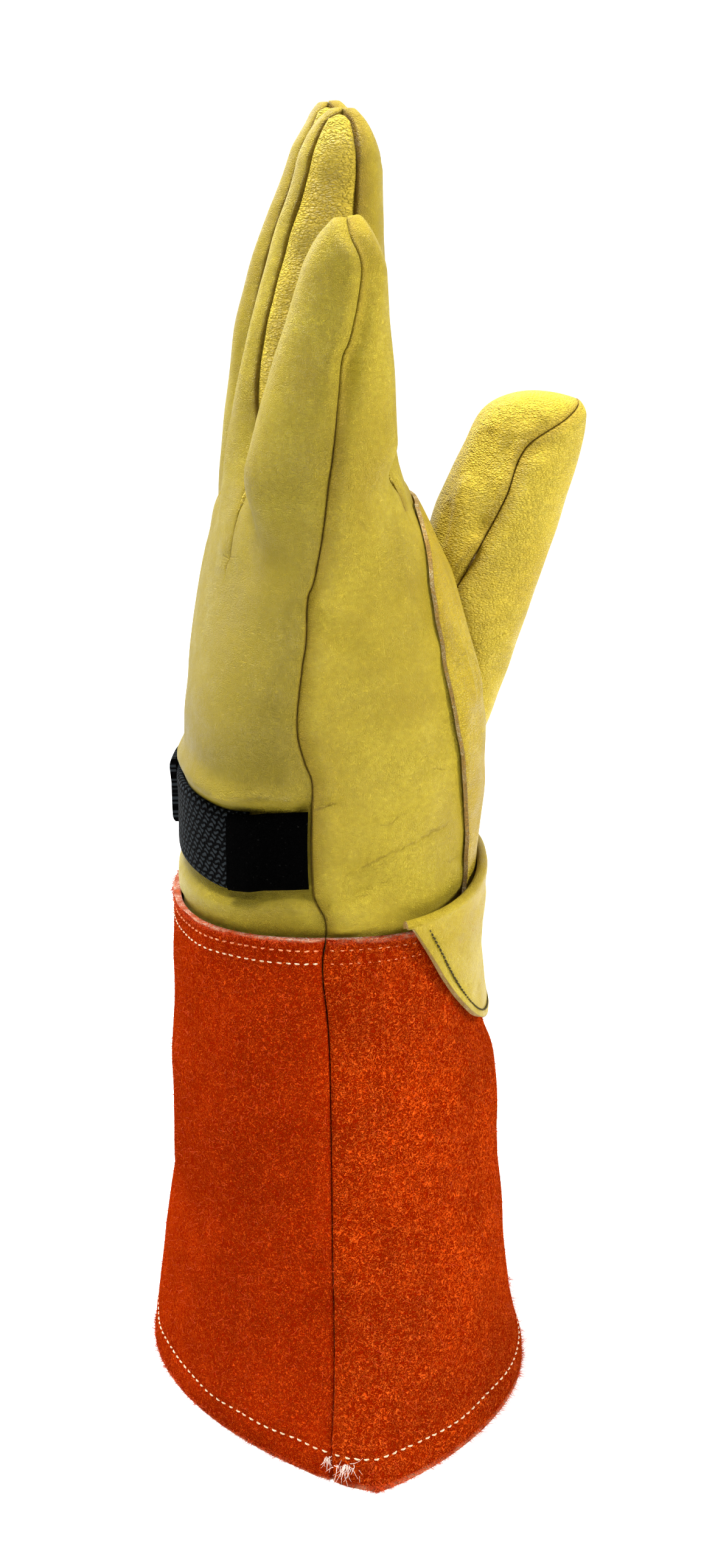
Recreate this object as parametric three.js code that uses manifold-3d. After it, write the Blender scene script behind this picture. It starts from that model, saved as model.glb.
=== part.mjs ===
// Leather protector glove for the right hand, standing on the rim of its cuff with the fingers up.
// Millimetres, +Z up, z = 0 at the rim. The back of the hand faces -X, the palm +X,
// the little finger -Y and the thumb side +Y.
import * as THREE from 'three';
import Module from 'manifold-3d';

// Driving dimensions
const LEATHER = 1.8;
const SUEDE = 1.8;
const HEM_SUEDE = 3.0;
const HEM_HEIGHT = 8;
const PATCH_LEATHER = 1.5;
const TAB_LEATHER = 1.7;
const WEBBING = 1.8;
const PILE = 1.6;
const CLEAR = 0.3;
const LAP = 0.7;
const CUFF_TOP = 149;
const HAND_BOTTOM = 136;
const STRAP_WIDTH = 21;
const STRAP_HEIGHT = 172;
const STRAP_DROP = 3;
const STRAP_RISE = 4.2;
const GROOVE = 2.4;

// Where the finger slits end and how far above that a finger has its own full shape,
// for the back of the hand and for the palm.
const BACK = -1;
const PALM = 1;
const SLIT_END = { [BACK]: 242, [PALM]: 258 };
const SLIT_BLEND = { [BACK]: 26, [PALM]: 16 };
const CROTCH_ARCH = 14;

// Roundness of the sections: 1 is an ellipse and smaller is squarer.
const HAND_ROUND = 0.8;
const FINGER_ROUND = 0.85;
const KNUCKLE_LEAN = 9;

// A finger's borders lie this far round from the middle of the back or the palm.
const BORDER = {
  [BACK]: THREE.MathUtils.degToRad(44),
  [PALM]: THREE.MathUtils.degToRad(64),
};
const FINGER_DOME = 12;
const THUMB_DOME = 18.5;

const lerp = THREE.MathUtils.lerp;
const clamp = THREE.MathUtils.clamp;
const smooth = THREE.MathUtils.smoothstep;

// A smooth table: the first column is the key, and a value between two rows follows a cubic
// through the rows next to it.
function table(columns, rows) {
  return (name, key) => {
    const column = columns.indexOf(name);
    const last = rows.length - 1;
    let row = 0;
    while (row < last - 1 && key > rows[row + 1][0]) {
      row += 1;
    }
    const slope = (at) => {
      const low = rows[Math.max(at - 1, 0)];
      const high = rows[Math.min(at + 1, last)];
      return (high[column] - low[column]) / (high[0] - low[0]);
    };
    const step = rows[row + 1][0] - rows[row][0];
    const t = clamp((key - rows[row][0]) / step, 0, 1);
    const s = t * t * (3 - 2 * t);
    const rise = slope(row) * step * t * (1 - t) * (1 - t);
    const fall = slope(row + 1) * step * t * t * (1 - t);
    return lerp(rows[row][column], rows[row + 1][column], s) + rise - fall;
  };
}

// Sections of the hand from the wrist to the crotch of the fingers.
const HAND = table(['z', 'back', 'palm', 'half'], [
  [136, -42.6, 36.6, 50.6],
  [149.4, -42.6, 36.4, 50.8],
  [152.5, -43.9, 36.7, 51.2],
  [156, -43.0, 37.1, 51.4],
  [161, -41.3, 37.6, 51.4],
  [168, -40.7, 38.1, 51.4],
  [178, -40.6, 38.8, 51.6],
  [184, -41.2, 39.2, 51.6],
  [192, -41.0, 39.4, 51.8],
  [205, -40.6, 38.6, 52.2],
  [218, -39.5, 35.4, 52.2],
  [230, -37.2, 31.6, 52.0],
  [244, -34.2, 26.2, 52.0],
  [257, -31.8, 20.2, 52.0],
  [270, -30.4, 17.0, 52.0],
]);

// Place in X of the side seams, from the cuff to the tips of the little and the index finger.
const SIDE_SEAM = table(['z', 'ulnar', 'radial'], [
  [0, -0.6, -0.6],
  [50, -0.3, -0.6],
  [100, -0.6, -1.0],
  [149, -1.8, -2.0],
  [154, -2.1, -2.2],
  [160, -4.9, -2.6],
  [190, -5.3, -4.0],
  [198, -8.1, -4.5],
  [206, -8.8, -5.0],
  [222, -6.8, -5.0],
  [236, -5.8, -4.6],
  [247, -3.0, -4.0],
  [272, 0.6, -3.2],
  [290, 2.2, -2.6],
  [300, 5.4, -1.6],
  [309, 7.0, 0.2],
  [320, 7.0, 2.5],
  [330, 4.0, 3.5],
  [352, 4.0, 4.5],
]);

// Sections of each finger, from its root to its tip.
const FINGERS = [
  {
    name: 'little',
    tip: 326,
    section: table(['z', 'back', 'palm', 'mid', 'half'], [
      [242, -27.5, 17.0, -38.4, 12.6],
      [266, -21.8, 16.7, -39.3, 12.5],
      [290, -14.8, 15.4, -41.5, 12.3],
      [304, -10.0, 13.9, -43.2, 11.9],
      [316, -6.7, 13.0, -45.4, 11.4],
      [326, -4.8, 12.6, -47.6, 11.0],
    ]),
  },
  {
    name: 'ring',
    tip: 353,
    section: table(['z', 'back', 'palm', 'mid', 'half'], [
      [242, -33.0, 20.0, -13.0, 12.3],
      [266, -28.5, 17.0, -13.1, 12.3],
      [283, -25.5, 14.5, -13.5, 12.3],
      [300, -21.6, 12.8, -14.0, 12.2],
      [320, -15.5, 12.6, -14.3, 12.0],
      [338, -8.8, 11.8, -14.6, 11.5],
      [353, -5.6, 11.2, -14.8, 11.2],
    ]),
  },
  {
    name: 'middle',
    tip: 357.4,
    section: table(['z', 'back', 'palm', 'mid', 'half'], [
      [242, -34.5, 22.0, 12.9, 12.3],
      [266, -31.6, 16.5, 12.8, 12.4],
      [283, -29.8, 13.5, 12.6, 12.4],
      [300, -26.6, 12.2, 12.3, 12.4],
      [320, -21.0, 11.6, 12.0, 12.2],
      [338, -13.4, 10.0, 11.8, 11.7],
      [346, -10.8, 9.4, 11.7, 11.4],
      [352, -9.0, 8.4, 11.6, 11.3],
      [358, -9.0, 6.2, 11.6, 11.2],
    ]),
  },
  {
    name: 'index',
    tip: 354,
    section: table(['z', 'back', 'palm', 'mid', 'half'], [
      [242, -31.0, 22.0, 38.8, 12.5],
      [266, -27.0, 17.0, 39.0, 12.5],
      [283, -25.0, 16.0, 39.0, 12.5],
      [300, -22.0, 15.0, 38.8, 12.4],
      [320, -16.5, 14.3, 38.4, 12.1],
      [338, -9.6, 13.6, 38.0, 11.6],
      [354, -4.6, 12.8, 37.8, 11.2],
    ]),
  },
];

// Thumb: places along its axis, the half thickness across the picture plane and the half width in Y,
// and how far its side seam lies from the middle line, towards the palm where positive.
const THUMB = table(['along', 'x', 'y', 'z', 'thick', 'wide', 'seam'], [
  [0, 15.0, 27.0, 160.0, 12.0, 13.0, -6.7],
  [16, 21.0, 30.0, 175.0, 16.4, 17.0, -6.7],
  [34, 27.3, 33.0, 192.0, 17.8, 18.5, -6.7],
  [59, 35.2, 35.5, 215.5, 18.4, 19.0, -6.7],
  [76, 41.2, 37.2, 231.5, 18.0, 18.6, -4.5],
  [98, 48.8, 38.7, 252.0, 17.0, 17.8, -1.4],
  [114, 54.0, 39.5, 266.5, 16.2, 17.0, -0.8],
  [124, 57.2, 40.0, 276.0, 15.6, 16.5, 7.0],
  [132, 59.8, 40.5, 283.5, 15.2, 16.0, 12.2],
]);
const THUMB_LENGTH = 132;
const THUMB_POLE = 10;
const THUMB_SLANT = 6;

// Sections of the cuff: an oval that turns towards the rim and grows pointed at its ends, and whose
// back swings towards the thumb. It is drawn in on the palm side, where the wrist tab holds it.
const CUFF = table(['z', 'mid', 'back', 'palm', 'side', 'turn', 'end', 'flank', 'swing'], [
  [0, 0.3, 55.0, 55.4, 73.6, 8.9, 1.6, 0.95, 11.3],
  [7, 0.3, 54.2, 54.6, 71.6, 8.8, 1.52, 0.95, 10.5],
  [15, 0.3, 53.0, 53.2, 69.4, 8.6, 1.42, 0.95, 9.5],
  [31, 0.2, 50.8, 50.4, 65.8, 8.2, 1.24, 0.94, 7.0],
  [47, 0.3, 49.0, 48.4, 62.4, 7.6, 1.1, 0.93, 4.5],
  [71, -0.1, 47.8, 47.8, 59.6, 6.2, 0.98, 0.93, 2.0],
  [87, -0.5, 47.5, 47.3, 58.0, 5.2, 0.93, 0.91, 0.8],
  [96, -0.8, 47.1, 46.6, 57.2, 4.4, 0.91, 0.9, 0.0],
  [105, -1.3, 46.2, 44.2, 56.4, 3.6, 0.88, 0.88, 0.0],
  [117, -1.9, 44.6, 42.2, 55.2, 2.4, 0.85, 0.85, 0.0],
  [134, -2.2, 43.5, 41.0, 53.8, 1.0, 0.81, 0.81, 0.0],
  [149, -2.3, 42.8, 42.0, 53.2, 0.0, 0.8, 0.8, 0.0],
  [155, -2.3, 42.8, 41.6, 53.2, 0.0, 0.8, 0.8, 0.0],
  [162, -2.3, 42.8, 41.0, 53.2, 0.0, 0.8, 0.8, 0.0],
]);

// Free edge of the palm patch on the little-finger side, as a place across the palm.
const PATCH_EDGE = table(['z', 'y'], [
  [152, -26.2],
  [161, -26.8],
  [170, -27.8],
  [183, -31.7],
  [194, -34],
  [206, -36],
  [215, -36.6],
  [224, -36],
  [231, -34.6],
  [238, -32.2],
  [244, -28],
  [250, -21.5],
  [256, -13],
]);
const PATCH_BOTTOM = 152.5;
const PATCH_TOP = 255.5;
const PATCH_END = 0.94 * Math.PI;

// Wrist tab: how far it reaches to either side and down, and its rolled top edge.
const TAB_REACH = { little: -49.6, thumb: 46 };
const TAB_TIP = 113;
const TAB_TOP = 153.5;
const TAB_CROWN = 4.5;

function power(value, exponent) {
  return Math.sign(value) * Math.abs(value) ** exponent;
}

function vector(x, y, z) {
  return new THREE.Vector3(x, y, z);
}

// A thick sheet: an outer skin of points in rows, the same skin moved inward, and walls that close
// every free edge between the two.
class Sheet {
  constructor() {
    this.outer = [];
    this.inner = [];
    this.faces = [];
  }

  add(outer, outward, thickness) {
    this.outer.push(outer);
    this.inner.push(outer.clone().addScaledVector(outward, -thickness));
    return this.outer.length - 1;
  }

  // Adds two triangles for each cell of a net of rows, and leaves out those that a pole closes up.
  net(rows) {
    for (let r = 0; r < rows.length - 1; r += 1) {
      for (let c = 0; c < rows[r].length - 1; c += 1) {
        this.face(rows[r][c], rows[r][c + 1], rows[r + 1][c + 1]);
        this.face(rows[r][c], rows[r + 1][c + 1], rows[r + 1][c]);
      }
    }
  }

  face(a, b, c) {
    if (a !== b && b !== c && c !== a) {
      this.faces.push([a, b, c]);
    }
  }

  walls() {
    const count = this.outer.length;
    const edges = new Set();
    for (const [a, b, c] of this.faces) {
      edges.add(`${a},${b}`).add(`${b},${c}`).add(`${c},${a}`);
    }
    const walls = [];
    for (const edge of edges) {
      const [a, b] = edge.split(',').map(Number);
      if (!edges.has(`${b},${a}`)) {
        walls.push([b, a, a + count], [b, a + count, b + count]);
      }
    }
    return walls;
  }

  geometry() {
    const count = this.outer.length;
    const points = [...this.outer, ...this.inner];
    const back = this.faces.map(([a, b, c]) => [c + count, b + count, a + count]);
    return closedGeometry(points, [...this.faces, ...back, ...this.walls()]);
  }
}

// Makes a geometry from points and triangles, and turns it so that its faces point out.
function closedGeometry(points, faces) {
  let volume = 0;
  for (const [a, b, c] of faces) {
    volume += points[a].dot(points[b].clone().cross(points[c]));
  }
  const turned = volume < 0 ? faces.map(([a, b, c]) => [a, c, b]) : faces;
  const geometry = new THREE.BufferGeometry().setFromPoints(points);
  geometry.setIndex(turned.flat());
  return geometry;
}

// A point of the hand's surface with its outward direction. round runs from 0 at the little-finger
// seam to PI at the thumb-side seam, across the back or the palm.
function handPoint(side, round, z) {
  const across = Math.cos(round);
  const depth = Math.sin(round);
  const middle = (1 - across) / 2;
  const seam = lerp(SIDE_SEAM('ulnar', z), SIDE_SEAM('radial', z), middle);
  const reach = HAND(side === BACK ? 'back' : 'palm', z) - seam;
  const knuckle = side === BACK ? smooth(z, 195, 245) : 0;
  const fullness = lerp(HAND_ROUND, 1, knuckle);
  const lean = KNUCKLE_LEAN * knuckle * Math.max(across, 0) * depth;
  const half = HAND('half', z);
  const x = seam + reach * power(depth, fullness) + lean;
  const y = -half * power(across, HAND_ROUND);
  const outX = side * power(depth, 2 - HAND_ROUND) / Math.abs(reach);
  const outY = -power(across, 2 - HAND_ROUND) / half;
  const out = vector(outX, outY, 0).normalize();
  const groove = side === BACK ? GROOVE * grooveShare(round, z) : 0;
  return { point: vector(x, y, z).addScaledVector(out, -groove), out };
}

// The strap drops away from the seams, rises again over the middle of the back, and lies in a
// groove towards the seams.
function strapHeight(round) {
  const middle = smooth(Math.sin(round), 0.55, 0.98);
  return STRAP_HEIGHT - STRAP_DROP * Math.sin(round) + STRAP_RISE * middle;
}

function grooveShare(round, z) {
  const off = Math.abs(z - strapHeight(round)) - STRAP_WIDTH / 2;
  return (1 - smooth(off, 0.8, 4)) * (1 - smooth(Math.sin(round), 0.55, 0.9));
}

// How far round the hand a place in Y lies.
function roundAt(y, z) {
  return Math.acos(clamp(power(-y / HAND('half', z), 1 / HAND_ROUND), -1, 1));
}

const SLITS = [-26, 0, 26].map((y) => roundAt(y, SLIT_END[BACK]));
const STRIPS = [0, ...SLITS, Math.PI];

function domeShare(finger, z) {
  return clamp((z - finger.tip + FINGER_DOME) / FINGER_DOME, 0, 1);
}

// A point of one finger's tube. angle is measured from the middle of the back or the palm.
function fingerPoint(side, finger, angle, z) {
  const back = finger.section('back', z);
  const palm = finger.section('palm', z);
  const half = finger.section('half', z);
  const dome = domeShare(finger, z);
  const thick = (palm - back) / 2;
  const shrink = Math.sqrt(1 - dome ** 1.5);
  const narrow = Math.sqrt(1 - dome ** 2.2);
  const x = (back + palm) / 2 + side * thick * shrink * power(Math.cos(angle), FINGER_ROUND);
  const y = finger.section('mid', z) + half * narrow * power(Math.sin(angle), FINGER_ROUND);
  const out = vector(
    side * power(Math.cos(angle), 2 - FINGER_ROUND) / thick,
    power(Math.sin(angle), 2 - FINGER_ROUND) / half,
    0,
  ).normalize().multiplyScalar(shrink);
  out.z = dome ** 1.2;
  return { point: vector(x, y, z), out: out.normalize() };
}

// Finger borders close towards the sides over the tip, so that the back and the palm meet there.
function borderAngle(side, finger, z) {
  return lerp(BORDER[side], Math.PI / 2, smooth(domeShare(finger, z), 0, 0.8));
}

function seamAngle(side, finger, seam, z) {
  const back = finger.section('back', z);
  const palm = finger.section('palm', z);
  const offset = (SIDE_SEAM(seam, z) - (back + palm) / 2) / ((palm - back) / 2);
  return Math.acos(power(clamp(side * offset, -0.8, 0.8), 1 / FINGER_ROUND));
}

function mix(a, b, share) {
  return {
    point: a.point.clone().lerp(b.point, share),
    out: a.out.clone().lerp(b.out, share).normalize(),
  };
}

// A point of a panel's finger strip: the hand's surface at the slit's end, which turns into the
// finger's tube above it. across runs from 0 to 1 over the finger's width.
function stripPoint(side, index, across, z) {
  const finger = FINGERS[index];
  const hand = handPoint(side, lerp(STRIPS[index], STRIPS[index + 1], across), z);
  const border = borderAngle(side, finger, z);
  const first = index === 0 ? seamAngle(side, finger, 'ulnar', z) : border;
  const last = index === FINGERS.length - 1 ? seamAngle(side, finger, 'radial', z) : border;
  const tube = fingerPoint(side, finger, lerp(-first, last, across), z);
  const share = smooth(z, SLIT_END[side], SLIT_END[side] + SLIT_BLEND[side]);
  return mix(hand, tube, share);
}

function steps(count) {
  return Array.from({ length: count + 1 }, (_, i) => i / count);
}

// Heights from one level up to another, in steps of about the size given.
function levels(from, to, step) {
  const count = Math.round((to - from) / step);
  return steps(count).map((share) => lerp(from, to, share));
}

function handLevels(side) {
  const wrist = [HAND_BOTTOM, 149.4, 152.5, 155, 158, 161, 172, 180, 183, 186.5];
  const hand = [...wrist, ...levels(194, SLIT_END[BACK], 9.6)];
  return side === BACK ? hand : [...hand, ...levels(SLIT_END[BACK], SLIT_END[PALM], 8).slice(1)];
}

// The back or the palm panel: one net from the wrist to the slits, and one for each finger.
function handPanel(side, columns = 4) {
  const sheet = new Sheet();
  const shift = vector(side * CLEAR / 2, 0, 0);
  const place = ({ point, out }) => sheet.add(point.add(shift), out, LEATHER);
  const hand = handLevels(side).map((z) => FINGERS.flatMap((_, index) => (
    steps(columns).slice(index === 0 ? 0 : 1)
      .map((across) => place(stripPoint(side, index, across, z)))
  )));
  sheet.net(hand);
  const root = hand[hand.length - 1];
  FINGERS.forEach((finger, index) => {
    const rows = [root.slice(index * columns, (index + 1) * columns + 1)];
    const start = finger.tip - FINGER_DOME;
    const shaft = levels(SLIT_END[side], start, 10).slice(1);
    const dome = [0.3, 0.55, 0.75, 0.9].map((share) => start + FINGER_DOME * share);
    for (const z of [...shaft, ...dome]) {
      rows.push(steps(columns).map((across) => place(stripPoint(side, index, across, z))));
    }
    rows.push(new Array(columns + 1).fill(place(stripPoint(side, index, 0.5, finger.tip))));
    sheet.net(rows);
  });
  return sheet.geometry();
}

// A point of a fourchette. share runs from 0 at the back to 1 at the palm. along runs from -1 at
// the tip of one finger through 0 at the crotch to 1 at the tip of the next.
const FOURCHETTE_END = 0.72;
function fourchettePoint(index, share, along) {
  const which = along < 0 ? index : index + 1;
  const across = along < 0 ? 1 : 0;
  const facing = along < 0 ? 1 : -1;
  const finger = FINGERS[which];
  const end = finger.tip - FINGER_DOME * (1 - FOURCHETTE_END);
  const up = Math.abs(along);
  const backZ = lerp(SLIT_END[BACK], end, up);
  const palmZ = lerp(SLIT_END[PALM], end, up);
  const z = lerp(backZ, palmZ, share);
  const backEdge = stripPoint(BACK, which, across, backZ);
  const palmEdge = stripPoint(PALM, which, across, palmZ);
  const tube = (at, height) => {
    const first = borderAngle(BACK, finger, height);
    const last = Math.PI - borderAngle(PALM, finger, height);
    return fingerPoint(BACK, finger, facing * lerp(first, last, at), height).point;
  };
  const chord = tube(0, backZ).lerp(tube(1, palmZ), share);
  const backShare = smooth(backZ, SLIT_END[BACK], SLIT_END[BACK] + SLIT_BLEND[BACK]);
  const palmShare = smooth(palmZ, SLIT_END[PALM], SLIT_END[PALM] + SLIT_BLEND[PALM]);
  const full = (backShare + palmShare) / 2;
  const point = backEdge.point.clone().lerp(palmEdge.point, share);
  point.addScaledVector(tube(share, z).sub(chord), full);
  point.z += (1 - full) * CROTCH_ARCH * (4 * share * (1 - share)) ** 0.7;
  const nearest = share < 0.5 ? backEdge : palmEdge;
  const tucked = 1 - smooth(Math.min(share, 1 - share), 0, 0.22);
  const sunk = Math.max(tucked, smooth(up, 0.86, 1));
  return point.addScaledVector(nearest.out, -sunk * (LEATHER + LAP));
}

// The outward direction of a surface given as a function of two parameters.
function surfaceNormal(surface, u, v, span = 0.01) {
  const alongU = surface(Math.min(u + span, 1), v).sub(surface(Math.max(u - span, 0), v));
  const alongV = surface(u, Math.min(v + span, 1)).sub(surface(u, Math.max(v - span, -1)));
  return alongU.cross(alongV).normalize();
}

function fourchette(index) {
  const sheet = new Sheet();
  const surface = (share, along) => fourchettePoint(index, share, along);
  const up = [0, 0.06, 0.14, 0.24, 0.36, 0.5, 0.64, 0.78, 0.9, 1];
  const along = [...up.slice(1).reverse().map((value) => -value), ...up];
  const rows = along.map((v) => [0, 0.1, 0.25, 0.5, 0.75, 0.9, 1].map((u) => (
    sheet.add(surface(u, v), surfaceNormal(surface, u, v), LEATHER)
  )));
  sheet.net(rows);
  return sheet.geometry();
}

// A point of the thumb's tube, grown outward where that is asked. angle is measured from the
// middle of the side that faces away from the fingers, and is negative on the little-finger side.
function thumbPoint(angle, along, grow = 0) {
  const centre = (at) => vector(THUMB('x', at), THUMB('y', at), THUMB('z', at));
  const axis = centre(along + 1).sub(centre(along - 1)).normalize();
  const outer = vector(0, 1, 0).cross(axis).normalize();
  const width = axis.clone().cross(outer);
  const dome = clamp((along - THUMB_LENGTH + THUMB_DOME) / THUMB_DOME, 0, 1);
  const shrink = Math.sqrt(1 - dome ** 2.8);
  const slant = THUMB_SLANT * dome * (1 - dome) * shrink;
  const cos = power(Math.cos(angle), FINGER_ROUND);
  const sin = power(Math.sin(angle), FINGER_ROUND);
  const point = centre(along)
    .addScaledVector(outer, THUMB('thick', along) * shrink * cos + THUMB_POLE * (1 - shrink))
    .addScaledVector(width, THUMB('wide', along) * shrink * sin)
    .addScaledVector(axis, slant * cos);
  const out = outer.multiplyScalar(cos).addScaledVector(width, sin).normalize()
    .multiplyScalar(shrink).addScaledVector(axis, dome ** 2).normalize();
  return { point: point.addScaledVector(out, grow), out };
}

function thumbLevels() {
  const shaft = levels(0, THUMB_LENGTH - THUMB_DOME, 9.5);
  const dome = [0.22, 0.45, 0.65, 0.82, 0.94];
  return [...shaft, ...dome.map((share) => THUMB_LENGTH - THUMB_DOME * (1 - share))];
}

// One half of the thumb. half is 1 for the outer half and -1 for the half that faces the fingers.
function thumbHalf(half, columns = 8) {
  const sheet = new Sheet();
  const place = (angle, along) => {
    const { point, out } = thumbPoint(angle, along);
    return sheet.add(point.add(vector(half * CLEAR / 2, 0, 0)), out, LEATHER);
  };
  const rows = thumbLevels().map((along) => {
    const offset = clamp(THUMB('seam', along) / THUMB('thick', along), -0.8, 0.8);
    const seam = Math.acos(power(offset, 1 / FINGER_ROUND));
    const first = half === 1 ? -seam : -2 * Math.PI + Math.PI / 2;
    const last = half === 1 ? Math.PI / 2 : -seam;
    return steps(columns).map((share) => place(lerp(first, last, share), along));
  });
  rows.push(new Array(columns + 1).fill(place(half === 1 ? 0 : Math.PI, THUMB_LENGTH)));
  sheet.net(rows);
  return sheet.geometry();
}

// Closes a stack of rings with a flat fan at each end.
function loft(rings) {
  const points = rings.flat();
  const count = rings[0].length;
  const faces = [];
  for (let r = 0; r < rings.length - 1; r += 1) {
    for (let c = 0; c < count; c += 1) {
      const next = (c + 1) % count;
      const low = r * count;
      const high = low + count;
      faces.push([low + c, low + next, high + next], [low + c, high + next, high + c]);
    }
  }
  const top = (rings.length - 1) * count;
  for (let c = 1; c < count - 1; c += 1) {
    faces.push([0, c + 1, c], [top, top + c, top + c + 1]);
  }
  return closedGeometry(points, faces);
}

function thumbSolid(grow, from, columns = 24) {
  const rings = thumbLevels().filter((along) => along >= from).map((along) => (
    steps(columns).slice(1).map((share) => thumbPoint(share * 2 * Math.PI, along, grow).point)
  ));
  return loft(rings);
}

// The hand's outer form as one solid, grown by the clearance.
function handSolid(grow, columns = 24) {
  const rings = handLevels(PALM).map((z) => {
    const ring = (side) => steps(columns).slice(0, -1).map((share) => {
      const round = side === PALM ? share * Math.PI : (1 - share) * Math.PI;
      const { point, out } = handPoint(side, round, z);
      return point.addScaledVector(out, grow);
    });
    return [...ring(PALM), ...ring(BACK)];
  });
  return loft(rings);
}

// A point of the cuff. angle runs round from the oval's end on the little-finger side, and is
// positive towards the palm.
function cuffPoint(angle, z) {
  const turn = THREE.MathUtils.degToRad(CUFF('turn', z));
  const end = CUFF('end', z);
  const flank = CUFF('flank', z);
  const reach = CUFF(Math.sin(angle) < 0 ? 'back' : 'palm', z);
  const half = CUFF('side', z);
  const swing = CUFF('swing', z) * Math.max(-Math.sin(angle), 0) ** 2;
  const axis = vector(0, 0, 1);
  const point = vector(
    reach * power(Math.sin(angle), end),
    swing - half * power(Math.cos(angle), flank),
    z,
  ).applyAxisAngle(axis, turn);
  point.x += CUFF('mid', z);
  const out = vector(
    power(Math.sin(angle), 2 - end) / reach,
    -power(Math.cos(angle), 2 - flank) / half,
    0,
  ).normalize().applyAxisAngle(axis, turn);
  return { point, out };
}

// The angle at which the cuff's little-finger seam lies, found by halving.
function cuffSeamAngle(z) {
  let low = -1.2;
  let high = 0.3;
  for (let i = 0; i < 30; i += 1) {
    const middle = (low + high) / 2;
    if (cuffPoint(middle, z).point.x < SIDE_SEAM('ulnar', z)) {
      low = middle;
    } else {
      high = middle;
    }
  }
  return low;
}

function cuffPanel(side, columns = 16) {
  const sheet = new Sheet();
  const gap = CLEAR / 2 / CUFF('side', CUFF_TOP);
  const heights = [0, HEM_HEIGHT - 1, HEM_HEIGHT + 2, ...levels(20, CUFF_TOP, 14)];
  const rows = heights.map((z) => {
    const seam = cuffSeamAngle(z);
    const wall = z < HEM_HEIGHT ? HEM_SUEDE : SUEDE;
    return steps(columns).map((share) => {
      const angle = seam + side * lerp(gap, Math.PI - gap, share);
      const { point, out } = cuffPoint(angle, z);
      return sheet.add(point, out, wall);
    });
  });
  sheet.net(rows);
  return sheet.geometry();
}

// Palm patch: over the palm panel, from its free edge to the thumb-side seam.
function palmPatch(columns = 14) {
  const sheet = new Sheet();
  const between = handLevels(PALM).filter((z) => z > PATCH_BOTTOM + 1 && z < PATCH_TOP - 1);
  const rows = [PATCH_BOTTOM, ...between, PATCH_TOP].map((z) => {
    const edge = roundAt(PATCH_EDGE('y', z), z);
    return steps(columns).map((share) => {
      const { point, out } = handPoint(PALM, lerp(edge, PATCH_END, share), z);
      point.addScaledVector(out, LAP + PATCH_LEATHER);
      return sheet.add(point, out, PATCH_LEATHER);
    });
  });
  sheet.net(rows);
  return sheet.geometry();
}

// Wrist tab: hangs from its rolled top edge down over the cuff to a rounded tip.
function wristTab(columns = 14, rowCount = 7) {
  const sheet = new Sheet();
  const { little, thumb } = TAB_REACH;
  const rows = steps(rowCount).map((down) => steps(columns).map((share) => {
    const y = lerp(little, thumb, share);
    const reach = y < 0 ? y / little : y / thumb;
    const top = TAB_TOP + TAB_CROWN * (1 - reach ** 2);
    const bottom = Math.min(TAB_TIP + (TAB_TOP - TAB_TIP) * reach ** 4, top - 2);
    const z = lerp(top, bottom, down);
    const angle = Math.acos(clamp(power(-y / CUFF('side', CUFF_TOP), 1 / HAND_ROUND), -1, 1));
    const { point, out } = cuffPoint(angle, z);
    point.addScaledVector(out, LAP + TAB_LEATHER);
    return sheet.add(point, out, TAB_LEATHER);
  }));
  sheet.net(rows);
  return sheet.geometry();
}

// A band round the back of the wrist. Its lift above the leather may change along it.
function band([from, to], height, width, wall, lift, columns) {
  const sheet = new Sheet();
  const rows = [-0.5, -0.17, 0.17, 0.5].map((part) => steps(columns).map((share) => {
    const round = lerp(from, to, share);
    const z = height(round) + part * width;
    const { point, out } = handPoint(BACK, round, z);
    point.addScaledVector(out, lift(round) + wall);
    return sheet.add(point, out, wall);
  }));
  sheet.net(rows);
  return sheet.geometry();
}

// Where the strap, its pile patch and its tail begin and end round the back.
const STRAP_SPAN = [0.4, 3.0];
const PILE_SPAN = [0.012, 0.54];
const TAIL_SPAN = [1.5, 2.2];
const tailHeight = (round) => STRAP_HEIGHT + 4 * Math.sin(round);

function wristStrap() {
  return band(STRAP_SPAN, strapHeight, STRAP_WIDTH, WEBBING, () => LAP, 20);
}

function strapPatch() {
  const over = (round) => LAP + (WEBBING + CLEAR) * smooth(round, 0.26, 0.38);
  return band(PILE_SPAN, strapHeight, STRAP_WIDTH - 0.6, PILE, over, 8);
}

function strapTail() {
  const over = () => LAP + WEBBING + CLEAR;
  return band(TAIL_SPAN, tailHeight, STRAP_WIDTH - 3, WEBBING, over, 8);
}

// Boolean cuts
const wasm = await Module();
wasm.setup();

function solid(geometry) {
  const vertProperties = Float32Array.from(geometry.getAttribute('position').array);
  const triVerts = Uint32Array.from(geometry.getIndex().array);
  return new wasm.Manifold(new wasm.Mesh({ numProp: 3, vertProperties, triVerts }));
}

// What is left of one geometry when others are cut away. Crumbs that a cut leaves are dropped.
function cut(geometry, ...cutters) {
  let left = solid(geometry);
  for (const cutter of cutters) {
    left = left.subtract(solid(cutter));
  }
  const pieces = left.decompose().sort((a, b) => b.volume() - a.volume());
  const mesh = pieces[0].getMesh();
  const result = new THREE.BufferGeometry();
  result.setAttribute('position', new THREE.BufferAttribute(mesh.vertProperties, 3));
  result.setIndex(new THREE.BufferAttribute(mesh.triVerts, 1));
  return result;
}

// Materials
const yellow = { color: 0xd8c455, roughness: 0.55, metalness: 0 };
const orange = { color: 0xc8480c, roughness: 0.95, metalness: 0 };
const black = { color: 0x16181a, roughness: 0.8, metalness: 0 };
const charcoal = { color: 0x2b3033, roughness: 0.7, metalness: 0 };

const glove = new THREE.Group();

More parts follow.
